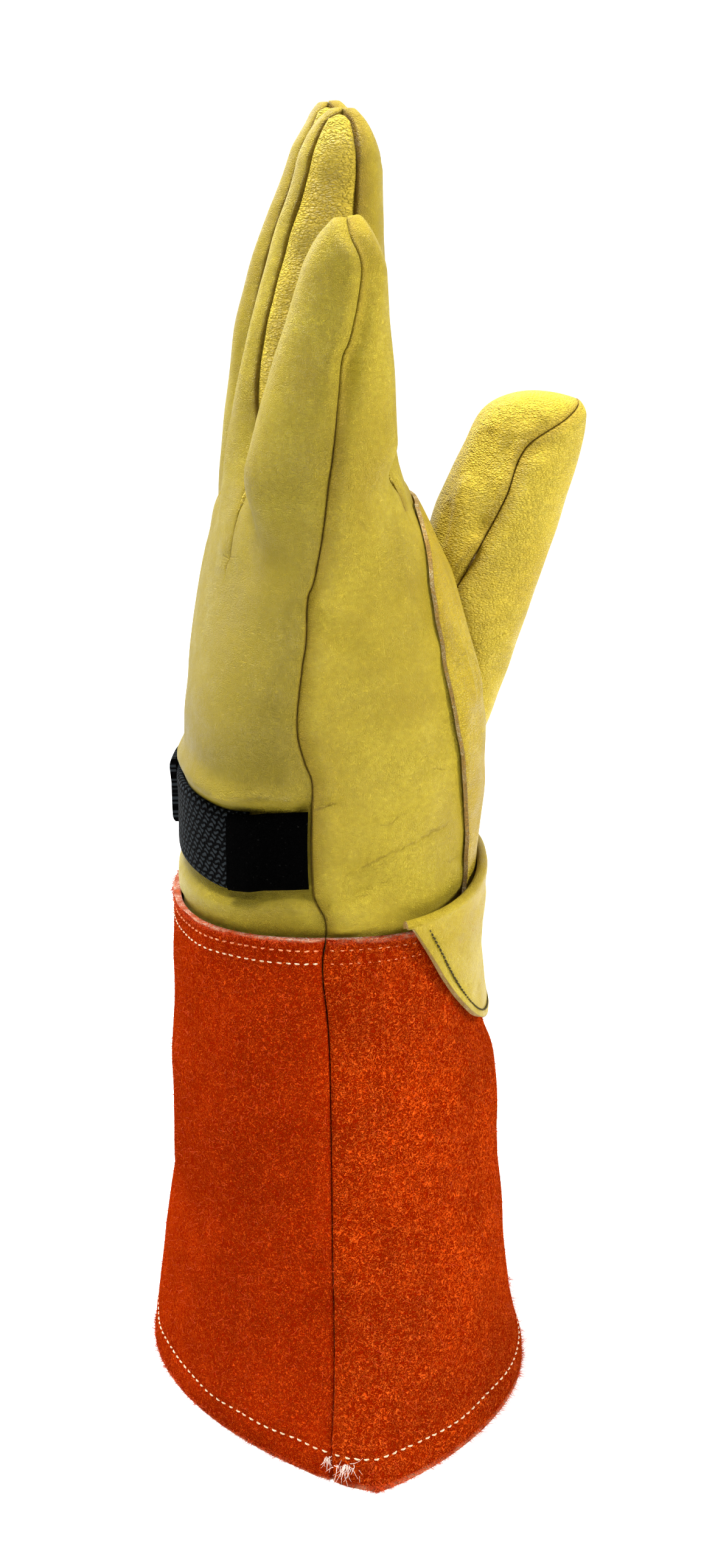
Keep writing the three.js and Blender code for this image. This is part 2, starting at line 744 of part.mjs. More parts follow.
function piece(name, geometry, finish) {
  geometry.computeVertexNormals();
  const mesh = new THREE.Mesh(geometry, new THREE.MeshStandardMaterial(finish));
  mesh.name = name;
  glove.add(mesh);
}

const palmOfHand = handSolid(CLEAR);
const thumbHollow = thumbSolid(-LEATHER, 9);
const thumbClearance = thumbSolid(LAP, 0);

piece('back_panel', handPanel(BACK), yellow);
piece('palm_panel', cut(handPanel(PALM), thumbHollow), yellow);
piece('fourchette_little_ring', fourchette(0), yellow);
piece('fourchette_ring_middle', fourchette(1), yellow);
piece('fourchette_middle_index', fourchette(2), yellow);
piece('thumb_front', cut(thumbHalf(1), palmOfHand), yellow);
piece('thumb_back', cut(thumbHalf(-1), palmOfHand), yellow);
piece('palm_patch', cut(palmPatch(), thumbClearance), yellow);
piece('wrist_tab', wristTab(), yellow);
piece('cuff_back', cuffPanel(BACK), orange);
piece('cuff_palm', cuffPanel(PALM), orange);
piece('wrist_strap', wristStrap(), charcoal);
piece('strap_patch', strapPatch(), black);
piece('strap_tail', strapTail(), charcoal);

// The origin lies at the middle of the outline, on the plane of the rim.
const bounds = new THREE.Box3().setFromObject(glove);
const middle = bounds.getCenter(vector(0, 0, 0));
glove.position.set(-middle.x, -middle.y, -bounds.min.z);

export default glove;
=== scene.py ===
# Looks of a right-hand leather protector glove that stands on the rim of its cuff.
# Sizes are in millimetres and are turned into metres when a mesh is made.
import math

import bpy
import numpy as np
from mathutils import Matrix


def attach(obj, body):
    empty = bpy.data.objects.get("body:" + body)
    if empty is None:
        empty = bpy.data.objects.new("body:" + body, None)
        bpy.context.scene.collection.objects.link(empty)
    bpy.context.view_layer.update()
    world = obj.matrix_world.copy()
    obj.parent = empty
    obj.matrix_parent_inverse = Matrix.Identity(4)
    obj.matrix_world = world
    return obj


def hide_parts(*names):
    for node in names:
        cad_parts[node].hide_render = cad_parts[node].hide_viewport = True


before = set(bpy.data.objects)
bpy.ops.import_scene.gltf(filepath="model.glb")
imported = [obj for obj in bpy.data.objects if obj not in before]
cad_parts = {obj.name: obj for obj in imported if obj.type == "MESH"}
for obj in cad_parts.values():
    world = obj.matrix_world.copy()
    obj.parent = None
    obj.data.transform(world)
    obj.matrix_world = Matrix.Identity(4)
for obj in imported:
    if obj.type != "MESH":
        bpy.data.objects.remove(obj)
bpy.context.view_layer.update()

# Thicknesses of the leather and the bands, and how they are sewn
LEATHER = 1.8
SUEDE = 1.8
HEM_SUEDE = 3.0
PATCH_LEATHER = 1.5
TAB_LEATHER = 1.7
WEBBING = 1.8
PILE = 1.6
LEAST_WALL = 0.6
LEAST_SUEDE = 0.7
GAP = 0.14
SEAM_LAP = 0.3
LAP = 0.7
CLEAR = 0.3
SEAM_DEPTH = 0.75
SEAM_REACH = 1.1
SUEDE_SEAM = (1.3, 1.0)
TUCK_SPAN = (2, 12)
SLIT_TUCK = (8, 3)
PUCKER_REACH = 4
PUFF_PLACE = 5.0
PUFF_WIDTH = 3.2
FOLD_DEPTH = 8.0
ROW_STEP = 1.25
FAR = 99.0
WAVES = 16
WAVE_SPREAD = (0.75, 1.35)

# Sizes of the hand, whose finger slits end lower on the back than on the palm
BACK = -1
PALM = 1
HAND_BOTTOM = 136.0
HAND_ROUND = 0.8
KNUCKLE_LEAN = 9.0
KNUCKLE_SPAN = (195, 245)
STRIP_BORDERS = (-29.5, 0, 26)
SLIT_END = {BACK: 243.0, PALM: 258.0}
SLIT_BLEND = {BACK: 26.0, PALM: 16.0}
SLIT_CLOSED = {BACK: 9.0, PALM: 0.0}
SLIT_TOP = {side: SLIT_END[side] + SLIT_CLOSED[side] for side in (BACK, PALM)}
SLIT_SIDE = 0.55
CROTCH_ARCH = 14.0
ARCH_ROUND = 0.7
SADDLE_LIFT = 0.2
TAB_BULGE = (4.5, 158)
PALM_DIP = 0.55
PALM_DIP_WIDTH = 2.8

# How far everything moves so that the middle of the outline stands over the origin
MIDDLE_OF_OUTLINE = np.array([-7.753, -0.001, 0.0])

# Sizes of the fingers and of the thumb, which is set into a hole in the palm
FINGER_ROUND = 0.85
FINGER_DOME = 12.0
DOME_ROWS = 16
DOME_THICK, DOME_WIDE, DOME_TURN = 1.5, 2.2, 1.2
ROOT_BORDER = math.radians(66)
BORDER = {BACK: math.radians(44), PALM: math.radians(64)}
BORDER_RISE = (256.0, 296.0)
BORDER_CLOSE = 0.7
SEAM_LIMIT = 0.8
FOURCHETTE_END = 0.97
STRIP_SINK = 1.0
STRIP_SINK_WIDTH = 1.3
RIDGE_HEIGHT = {BACK: 0.9, PALM: -1.4}
RIDGE_WIDTH = {BACK: 1.8, PALM: 2.2}
RIDGE_PLACE = 2.6
RIDGE_SPAN = (272, 296)
THUMB_LENGTH = 132.0
THUMB_DOME = 18.5
THUMB_DOME_ROWS = 24
THUMB_DOME_ROUND = 2.8
THUMB_POLE = 10.0
THUMB_SLANT = 6.0
THUMB_SET = (5.0, 2.2)
THUMB_SET_START = 1.5
THUMB_SET_END = 8
THUMB_HOLE = 4
PATCH_HOLE = 3
THUMB_SUNK = 2.5
THUMB_FOLDING = 1.5
LEAST_FACING = 0.35

# Sizes of the patch, the cuff and the tab
PATCH_BOTTOM = 152.5
PATCH_TOP = 255.5
PATCH_END = 0.94 * math.pi
PATCH_SET = (5.0, 1.6)
PATCH_SET_END = 6
RAW_EDGE = 1.2
RAW_EDGE_DROP = 0.3
RAW_EDGE_THIN = 0.4
CUFF_TOP = 149.0
HEM_HEIGHT = 8.0
HEM_PROUD = 0.25
DENT_LIMIT = 0.9
TOP_LINES = (CUFF_TOP - 2.9, CUFF_TOP - 6.4)
SEAM_SEARCH = (-1.2, 0.3)
TAB_REACH = (-49.6, 46.0)
TAB_TIP = 113.0
TAB_TOP = 153.5
TAB_CROWN = 4.5
TAB_INSET = 2.1
ROLL = 1.5

# Sizes of the strap and of the groove that it presses into the leather
STRAP_WIDTH = 21.0
STRAP_HEIGHT = 172.0
STRAP_DROP = 3.0
STRAP_RISE = 4.2
STRAP_RISE_SPAN = (0.55, 0.98)
STRAP_SPAN = (0.4, 3.0)
PILE_SPAN = (0.012, 0.54)
TAIL_SPAN = (1.5, 2.2)
TAIL_RISE = 4
BAND_CROWN = 0.25
GROOVE = 2.4
GROOVE_FADE = (0.8, 4)
GROOVE_END = (0.55, 0.9)

# Soft waves of the surfaces, as heights, wave lengths and seeds
HAND_WAVES = ((0.12, 16, 11), (0.28, 38, 21))
PUCKER_WAVES = ((0.1, 4.5, 17),)
FOURCHETTE_WAVES = ((0.2, 11, 31),)
THUMB_WAVES = ((0.2, 14, 41), (0.3, 30, 43))
PATCH_WAVES = ((0.22, 12, 53), (0.3, 30, 55))
PATCH_EDGE_WAVES = ((0.35, 9, 51),)
CUFF_WAVES = ((0.35, 22, 61), (0.55, 55, 63))
TAB_WAVES = ((0.15, 14, 71),)

# Heights, widths and places of the swells of the leather over and under the strap
STRAP_SWELLS = ((1.9, 3.4, 14.5), (1.0, 3.2, -15.5))


def lerp(low, high, share):
    """The value a share of the way from low to high."""
    return low + (high - low) * share


def smooth(value, low, high):
    """0 below low, 1 above high, and an S-shaped rise between them."""
    share = np.clip((value - low) / (high - low), 0, 1)
    return share * share * (3 - 2 * share)


def power(value, exponent):
    """A power that keeps the sign of its base."""
    return np.sign(value) * np.abs(value) ** exponent


def bell(value, width, middle=0.0):
    """A bell curve that is 1 at its middle and about a third at one width from it."""
    return np.exp(-((value - middle) / width) ** 2)


def unit(vectors):
    """Vectors of length one."""
    return vectors / np.maximum(np.linalg.norm(vectors, axis=-1, keepdims=True), 1e-9)


def course(columns, rows):
    """Reads a table smoothly: between two rows a value follows the cubic whose slope at each row is
    that of the line between the row's two neighbours."""
    names = columns.split()
    rows = np.array(rows, float)
    key = rows[:, 0]
    last = len(rows) - 1
    low = np.maximum(np.arange(last + 1) - 1, 0)
    high = np.minimum(np.arange(last + 1) + 1, last)

    def read(name, at):
        value = rows[:, names.index(name)]
        slope = (value[high] - value[low]) / (key[high] - key[low])
        at = np.asarray(at, float)
        row = np.clip(np.searchsorted(key, at) - 1, 0, last - 1)
        step = key[row + 1] - key[row]
        t = np.clip((at - key[row]) / step, 0, 1)
        rise = slope[row] * step * t * (1 - t) ** 2
        fall = slope[row + 1] * step * t * t * (1 - t)
        return lerp(value[row], value[row + 1], t * t * (3 - 2 * t)) + rise - fall

    return read


# Sections of the hand from the wrist to the crotch of the fingers
HAND = course("z back palm half", [
    (136, -42.6, 36.6, 50.6), (149.4, -42.6, 36.4, 50.8), (152.5, -43.9, 36.7, 51.2),
    (156, -43.0, 37.1, 51.4), (161, -41.3, 37.6, 51.4), (168, -40.7, 38.1, 51.4),
    (178, -40.6, 38.8, 51.6), (184, -41.2, 39.2, 51.6), (192, -41.0, 39.4, 51.8),
    (205, -40.6, 38.6, 52.2), (218, -39.5, 35.4, 52.2), (230, -37.2, 31.6, 52.0),
    (244, -34.2, 26.2, 52.0), (257, -31.8, 20.2, 52.0), (270, -30.4, 17.0, 52.0),
])

# Place of the side seams across the thickness, from the rim to the fingertips
SIDE_SEAM = course("z ulnar radial", [
    (0, -0.6, -0.6), (50, -0.3, -0.6), (100, -0.6, -1.0), (118, -0.9, -1.3), (128, -1.5, -1.5),
    (137, -2.5, -1.8), (144, -2.6, -1.9), (149, -1.8, -2.0), (154, -2.1, -2.2), (157, -3.8, -2.4),
    (160, -4.9, -2.6), (173, -5.4, -3.2), (187, -5.0, -3.8), (191, -5.3, -4.0), (195, -6.9, -4.3),
    (201, -8.5, -4.8), (206, -8.8, -5.0), (212, -8.3, -5.0), (220, -7.3, -5.0), (226, -6.4, -4.9),
    (237, -5.9, -4.6), (240, -4.6, -4.4), (247, -3.0, -4.0), (255, -1.7, -3.8), (264, -0.6, -3.5),
    (272, 0.6, -3.2), (286, 1.9, -2.8), (294, 2.7, -2.4), (298, 4.5, -1.8), (309, 7.0, 0.2),
    (316, 7.4, 1.8), (323, 4.9, 3.0), (330, 4.0, 3.5), (352, 4.0, 4.5),
])

# Sections of each finger, from its root to its tip
SECTION = "z back palm mid half"
FINGERS = [
    ("little", 326.0, course(SECTION, [
        (242, -27.5, 17.0, -38.4, 12.6),
        (266, -21.8, 16.7, -39.3, 12.5),
        (290, -14.8, 15.4, -41.5, 12.3),
        (304, -10.0, 13.9, -43.2, 11.9),
        (316, -6.7, 13.0, -45.4, 11.4),
        (326, -4.8, 12.6, -47.6, 11.0),
    ])),
    ("ring", 353.0, course(SECTION, [
        (242, -33.0, 20.0, -13.0, 12.3),
        (266, -28.5, 17.0, -13.1, 12.3),
        (283, -25.5, 14.5, -13.5, 12.3),
        (300, -21.6, 12.8, -14.0, 12.2),
        (320, -15.5, 12.6, -14.3, 12.0),
        (338, -8.8, 11.8, -14.6, 11.5),
        (353, -5.6, 11.2, -14.8, 11.2),
    ])),
    ("middle", 357.4, course(SECTION, [
        (242, -34.5, 22.0, 12.9, 12.3),
        (266, -31.6, 16.5, 12.8, 12.4),
        (283, -29.8, 13.5, 12.6, 12.4),
        (300, -26.6, 12.2, 12.3, 12.4),
        (320, -21.0, 11.6, 12.0, 12.2),
        (338, -13.4, 10.0, 11.8, 11.7),
        (346, -10.8, 9.4, 11.7, 11.4),
        (352, -9.0, 8.4, 11.6, 11.3),
        (358, -9.0, 6.2, 11.6, 11.2),
    ])),
    ("index", 354.0, course(SECTION, [
        (242, -31.0, 22.0, 38.8, 12.5),
        (266, -27.0, 17.0, 39.0, 12.5),
        (283, -25.0, 16.0, 39.0, 12.5),
        (300, -22.0, 15.0, 38.8, 12.4),
        (320, -16.5, 14.3, 38.4, 12.1),
        (338, -9.6, 13.6, 38.0, 11.6),
        (354, -4.6, 12.8, 37.8, 11.2),
    ])),
]
LAST = len(FINGERS) - 1

# The thumb's axis, its half thickness and half width, and the offset of its side seam
THUMB = course("along x y z thick wide seam", [
    (0, 15.0, 27.0, 160.0, 12.0, 13.0, -6.7),
    (16, 21.0, 30.0, 175.0, 16.4, 17.0, -6.7),
    (34, 27.3, 33.0, 192.0, 17.8, 18.5, -6.7),
    (59, 35.2, 35.5, 215.5, 18.4, 19.0, -6.7),
    (76, 41.2, 37.2, 231.5, 18.0, 18.6, -4.5),
    (98, 48.8, 38.7, 252.0, 17.0, 17.8, -1.4),
    (114, 54.0, 39.5, 266.5, 16.2, 17.0, -0.8),
    (124, 57.2, 40.0, 276.0, 15.6, 16.5, 7.0),
    (132, 59.8, 40.5, 283.5, 15.2, 16.0, 12.2),
])

# Sections of the cuff from its rim to its top
CUFF = course("z mid back palm side turn end flank swing", [
    (0, 0.3, 55.0, 55.4, 73.6, 8.9, 1.6, 0.95, 11.3),
    (7, 0.3, 54.2, 54.6, 71.6, 8.8, 1.52, 0.95, 10.5),
    (15, 0.3, 53.0, 53.2, 69.4, 8.6, 1.42, 0.95, 9.5),
    (31, 0.2, 50.8, 50.4, 65.8, 8.2, 1.24, 0.94, 7.0),
    (47, 0.3, 49.0, 48.4, 62.4, 7.6, 1.1, 0.93, 4.5),
    (71, -0.1, 47.8, 47.8, 59.6, 6.2, 0.98, 0.93, 2.0),
    (87, -0.5, 47.5, 47.3, 58.0, 5.2, 0.93, 0.91, 0.8),
    (96, -0.8, 47.1, 46.6, 57.2, 4.4, 0.91, 0.9, 0.0),
    (105, -1.3, 46.2, 44.2, 56.4, 3.6, 0.88, 0.88, 0.0),
    (117, -1.9, 44.6, 42.2, 55.2, 2.4, 0.85, 0.85, 0.0),
    (134, -2.2, 43.5, 41.0, 53.8, 1.0, 0.81, 0.81, 0.0),
    (149, -2.3, 42.8, 42.0, 53.2, 0.0, 0.8, 0.8, 0.0),
    (155, -2.3, 42.8, 41.6, 53.2, 0.0, 0.8, 0.8, 0.0),
    (162, -2.3, 42.8, 41.0, 53.2, 0.0, 0.8, 0.8, 0.0),
])

# Free edge of the palm patch, as a place across the palm
PATCH_EDGE = course("z y", [
    (152, -26.2), (161, -26.8), (170, -27.8), (183, -31.7), (194, -34), (206, -36), (215, -36.6),
    (224, -36), (231, -34.6), (238, -32.2), (244, -28), (250, -21.5), (256, -13),
])


def ripple(points, wave, seed):
    """A soft random relief between about -1 and 1: the sum of plane waves of about one length, in
    seeded directions and phases, over the square root of their number."""
    dice = np.random.default_rng(seed)
    direction = unit(dice.normal(size=(WAVES, 3)))
    rate = 2 * math.pi / (wave * dice.uniform(*WAVE_SPREAD, WAVES))
    phase = dice.uniform(0, 2 * math.pi, WAVES)
    return np.sin(points @ (direction * rate[:, None]).T + phase).sum(-1) / math.sqrt(WAVES)


def waved(points, rows, shift=0):
    """The sum of some ripples. The shift moves their seeds, so that like pieces differ."""
    return sum(height * ripple(points, wave, seed + shift) for height, wave, seed in rows)


def folds(points, out, rows):
    """Rounded ridges and valleys. Each row is a line from one point to another, a width and a
    height: the relief is the height times a bell curve of the distance from the line along the
    surface, fading to nothing at both ends and where the surface lies far from the line."""
    total = np.zeros(points.shape[:-1])
    for start, end, width, height in rows:
        start = np.array(start, float)
        line = np.array(end, float) - start
        share = np.clip((points - start) @ line / (line @ line), 0, 1)
        off = points - start - share[..., None] * line
        depth = (off * out).sum(-1)
        away = np.linalg.norm(off - depth[..., None] * out, axis=-1)
        fade = np.sqrt(4 * share * (1 - share)) * bell(depth, FOLD_DEPTH)
        total += height * bell(away, width) * fade
    return total


def tuck(distance, weight=1.0, reach=SEAM_REACH, depth=SEAM_DEPTH):
    """How far leather turns in at a sewn edge: a quarter circle from the edge to the reach."""
    share = np.clip(distance / reach, 0, 1)
    return depth * weight * (1 - np.sqrt(np.clip(1 - (1 - share) ** 2, 0, 1)))


def puff(distance, height=0.4):
    """The low swell beside a sewn edge: a bell curve about a place a few millimetres from it."""
    return height * bell(distance, PUFF_WIDTH, PUFF_PLACE)


def run(points):
    """Length along the rows of a grid, from their first point to each point."""
    step = np.linalg.norm(np.diff(points, axis=1), axis=-1)
    return np.cumsum(np.pad(step, ((0, 0), (1, 0))), axis=1)


def edges(points):
    """Distance of every point of a grid from the first and from the last point of its row."""
    length = run(points)
    return length, length[:, -1:] - length


def heights(low, high, step):
    """Evenly spaced values from low to high, about a step apart."""
    return np.linspace(low, high, max(int(round((high - low) / step)), 1) + 1)


def gathered(count, edge=(0.0008, 0.0024, 0.005, 0.0085, 0.013, 0.02, 0.03, 0.043, 0.06, 0.083,
                          0.11)):
    """Shares from 0 to 1 that crowd together towards both ends."""
    edge = np.array((0.0, *edge))
    middle = np.linspace(edge[-1], 1 - edge[-1], count + 1)[1:-1]
    return np.concatenate([edge, middle, 1 - edge[::-1]])


def skins(point, out, swell, sunk, wall=LEATHER, least=LEAST_WALL):
    """The outer skin of a sheet, raised by its swell and turned in at its seams, and the inner skin
    a wall under it, which is pushed in where the seams are deep."""
    outer = point + out * (swell - sunk)[..., None]
    return outer, point - out * np.maximum(wall, sunk + least)[..., None]


def open_cells(deep):
    """The cells of a grid that have a corner outside a deep region."""
    return ~(deep[:-1, :-1] & deep[1:, 1:] & deep[:-1, 1:] & deep[1:, :-1])


def metres(points):
    """Places in metres, moved so that the middle of the glove's outline stands over the origin."""
    return (np.array(points) + MIDDLE_OF_OUTLINE) / 1000


COLUMNS = gathered(20)


class Hide:
    """A thick sheet: an outer and an inner skin of grids that may share points, and walls that close
    every free edge between the two. The skins and the walls get their own materials."""

    def __init__(self):
        self.outer, self.inner, self.values, self.quads = [], [], [], []
        self.count = 0

    def lay(self, outer, inner, value):
        """Adds a grid of points and returns their numbers. The value, which is how far each lies
        from an edge, is kept with them."""
        number = np.arange(outer[..., 0].size).reshape(outer.shape[:-1]) + self.count
        self.count += number.size
        self.outer.append(outer.reshape(-1, 3))
        self.inner.append(inner.reshape(-1, 3))
        self.values.append(np.broadcast_to(value, number.shape).ravel())
        return number

    def cells(self, number, keep=None):
        """Adds the cells of a grid of numbers, all of them or those that are kept."""
        quads = np.stack([number[:-1, :-1], number[:-1, 1:], number[1:, 1:], number[1:, :-1]], -1)
        self.quads.append(quads.reshape(-1, 4) if keep is None else quads[keep])

    def piece(self, name, materials):
        """Closes the sheet and makes it the piece that takes the place of the node of its name. The
        materials are those of the skin, the inner side and the raw edge."""
        quads = np.concatenate(self.quads)
        triangle = quads[:, 2] == quads[:, 3]
        full = quads[~triangle]
        short = quads[triangle][:, :3]
        short = short[(short[:, 0] != short[:, 1]) & (short[:, 1] != short[:, 2])]
        links = np.concatenate([full[:, [i, (i + 1) % 4]] for i in range(4)]
                               + [short[:, [i, (i + 1) % 3]] for i in range(3)])
        code = links.min(1) * self.count + links.max(1)
        _, first, times = np.unique(code, return_index=True, return_counts=True)
        free = links[first[times == 1]]
        walls = np.stack([free[:, 1], free[:, 0], free[:, 0] + self.count,
                          free[:, 1] + self.count], 1)
        points = np.concatenate(self.outer + self.inner)
        values = np.concatenate(self.values * 2)
        fours = np.concatenate([full, full[:, ::-1] + self.count, walls])
        threes = np.concatenate([short, short[:, ::-1] + self.count])
        slots = np.concatenate([np.repeat([0, 1, 2], [len(full), len(full), len(walls)]),
                                np.repeat([0, 1], [len(short), len(short)])])
        used, fours, threes = compact(fours, threes)
        thing = finished(name, points[used], fours, threes, slots, values[used], materials)
        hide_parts(name)
        return thing


def compact(fours, threes):
    """Numbers of the points that faces use, and the faces counted in those."""
    used, back = np.unique(np.concatenate([fours.ravel(), threes.ravel()]), return_inverse=True)
    back = back.ravel()
    return used, back[:fours.size].reshape(-1, 4), back[fours.size:].reshape(-1, 3)


def finished(name, points, fours, threes, slots, values, materials, angle=48):
    """A named piece from points in millimetres and faces, with its faces turned outward, which is
    where the volume that they enclose is positive."""
    corners = points[fours]
    sides = np.cross(corners[:, 2] - corners[:, 0], corners[:, 3] - corners[:, 1])
    volume = (corners.mean(1) * sides).sum()
    if len(threes):
        tips = points[threes]
        volume += (tips.mean(1) * np.cross(tips[:, 1] - tips[:, 0], tips[:, 2] - tips[:, 0])).sum()
    if volume < 0:
        fours = fours[:, ::-1]
        threes = threes[:, ::-1]
    mesh = bpy.data.meshes.new(name)
    mesh.from_pydata(metres(points).tolist(), [], fours.tolist() + threes.tolist())
    mesh.polygons.foreach_set("material_index", slots.astype(np.int32))
    mesh.polygons.foreach_set("use_smooth", np.ones(len(mesh.polygons), bool))
    mesh.set_sharp_from_angle(angle=math.radians(angle))
    kept = mesh.attributes.new("from_edge", "FLOAT", "POINT")
    kept.data.foreach_set("value", values.astype(np.float32))
    mesh.update()
    thing = bpy.data.objects.new(name, mesh)
    bpy.context.scene.collection.objects.link(thing)
    for material in materials:
        mesh.materials.append(material)
    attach(thing, "root")
    return thing


# The hand
def strap_height(turn):
    """Height of the strap's middle line, which dips beside both side seams and rises over the middle
    of the back."""
    middle = np.sin(turn)
    return STRAP_HEIGHT - STRAP_DROP * middle + STRAP_RISE * smooth(middle, *STRAP_RISE_SPAN)


def groove_share(turn, z):
    """1 under the strap near the side seams, fading above and below it and over the middle."""
    off = np.abs(z - strap_height(turn)) - STRAP_WIDTH / 2
    return (1 - smooth(off, *GROOVE_FADE)) * (1 - smooth(np.sin(turn), *GROOVE_END))


def hand_point(side, turn, z):
    """The hand's surface and its outward direction: half a squared ellipse between the two side
    seams, which leans over at the knuckles and is drawn in under the strap. turn runs from 0 at the
    little-finger seam to half a circle at the thumb-side seam."""
    across, depth = np.cos(turn), np.sin(turn)
    seam = lerp(SIDE_SEAM("ulnar", z), SIDE_SEAM("radial", z), (1 - across) / 2)
    reach = HAND("back" if side == BACK else "palm", z) - seam
    knuckle = smooth(z, *KNUCKLE_SPAN) if side == BACK else np.zeros_like(z)
    lean = KNUCKLE_LEAN * knuckle * np.maximum(across, 0) * depth
    half = HAND("half", z)
    depth = np.clip(depth, 0, 1)
    x = seam + reach * depth ** lerp(HAND_ROUND, 1, knuckle) + lean
    y = -half * power(across, HAND_ROUND)
    out = unit(np.stack([side * depth ** (2 - HAND_ROUND) / np.abs(reach),
                         -power(across, 2 - HAND_ROUND) / half, np.zeros_like(x)], -1))
    point = np.stack([x, y, z + np.zeros_like(x)], -1)
    if side == BACK:
        point = point - out * (GROOVE * groove_share(turn, z))[..., None]
    return point, out


def turn_at(y, z):
    """How far round the hand a place across it lies."""
    return np.arccos(np.clip(power(-y / HAND("half", z), 1 / HAND_ROUND), -1, 1))


STRIPS = [0.0, *(float(turn_at(np.array(y), SLIT_END[BACK])) for y in STRIP_BORDERS), math.pi]


def strip_turn(index, across):
    """How far round the hand a place across a finger's strip of leather lies."""
    return lerp(STRIPS[index], STRIPS[index + 1], across)


# The fingers
def dome_share(tip, z):
    """0 below a fingertip's dome and 1 at its top."""
    return np.clip((z - tip + FINGER_DOME) / FINGER_DOME, 0, 1)


def finger_point(side, finger, angle, z):
    """One finger's tube and its outward direction: a squared ellipse that shrinks to a point over
    the tip."""
    _, tip, section = finger
    back, palm, half = section("back", z), section("palm", z), section("half", z)
    dome = dome_share(tip, z)
    thick = (palm - back) / 2
    shrink = np.sqrt(1 - dome ** DOME_THICK)
    narrow = np.sqrt(1 - dome ** DOME_WIDE)
    x = (back + palm) / 2 + side * thick * shrink * power(np.cos(angle), FINGER_ROUND)
    y = section("mid", z) + half * narrow * power(np.sin(angle), FINGER_ROUND)
    level = unit(np.stack([side * power(np.cos(angle), 2 - FINGER_ROUND) / thick,
                           power(np.sin(angle), 2 - FINGER_ROUND) / half,
                           np.zeros_like(x)], -1))
    out = level * shrink[..., None]
    out[..., 2] = dome ** DOME_TURN
    return np.stack([x, y, z + np.zeros_like(x)], -1), unit(out)


def border_angle(side, tip, z):
    """Where a finger's sewn border lies, round from the middle of the back or the palm."""
    border = lerp(ROOT_BORDER, BORDER[side], smooth(z, *BORDER_RISE))
    return lerp(border, math.pi / 2, smooth(dome_share(tip, z), BORDER_CLOSE, 1))


def seam_angle(side, section, seam, z):
    """The angle at which an outer finger's side seam lies."""
    back, palm = section("back", z), section("palm", z)
    offset = (SIDE_SEAM(seam, z) - (back + palm) / 2) / ((palm - back) / 2)
    return np.arccos(power(np.clip(side * offset, -SEAM_LIMIT, SEAM_LIMIT), 1 / FINGER_ROUND))


def strip_point(side, index, across, z):
    """A panel over one finger, and its outward direction: the hand's surface, which turns into the
    finger's tube over the blend above the slit."""
    finger = FINGERS[index]
    _, tip, section = finger
    hand, hand_out = hand_point(side, strip_turn(index, across), z)
    border = border_angle(side, tip, z)
    first = seam_angle(side, section, "ulnar", z) if index == 0 else border
    last = seam_angle(side, section, "radial", z) if index == LAST else border
    tube, tube_out = finger_point(side, finger, lerp(-first, last, across), z)
    near = np.maximum(smooth(across, SLIT_SIDE, 1) * (index < LAST),
                      smooth(1 - across, SLIT_SIDE, 1) * (index > 0))
    start = SLIT_END[side] + near * SLIT_CLOSED[side]
    share = smooth(z - start, 0, SLIT_BLEND[side])[..., None]
    return lerp(hand, tube, share), unit(lerp(hand_out, tube_out, share))


def dome_heights(tip, dome, rows):
    """Heights over a dome below a tip, which crowd towards the tip."""
    share = np.linspace(0, 1, rows + 1)[1:]
    return tip - dome * (1 - share) ** 2


def strap_swell(turn, z):
    """The leather that swells over the strap's top edge and in a roll below it."""
    off = z - strap_height(turn)
    return sum(height * bell(off, width, place) for height, width, place in STRAP_SWELLS)


# Creases of the back of the hand, as lines with a width and a height
BACK_FOLDS = [
    ((-31.0, -22.0, 243.2), (-24.0, -32.5, 244.2), 0.8, -0.4),
    ((-31.0, -22.0, 240.8), (-24.5, -32.0, 241.6), 1.5, 0.4),
    ((-28.5, -41.0, 184.5), (-18.0, -48.0, 183.8), 2.0, 0.5),
    ((-33.0, -30.0, 197.0), (-12.0, -48.0, 192.5), 5.0, 0.5),
    ((-9.0, -51.0, 209.0), (-18.0, -47.5, 214.0), 3.0, 0.4),
    ((-13.0, -49.0, 240.0), (-20.0, -42.0, 247.0), 3.5, 0.3),
    ((-6.0, -51.5, 156.5), (-14.0, -49.5, 159.5), 1.6, 0.4),
    ((-5.0, -51.5, 153.0), (-13.0, -50.0, 154.0), 1.2, -0.35),
]

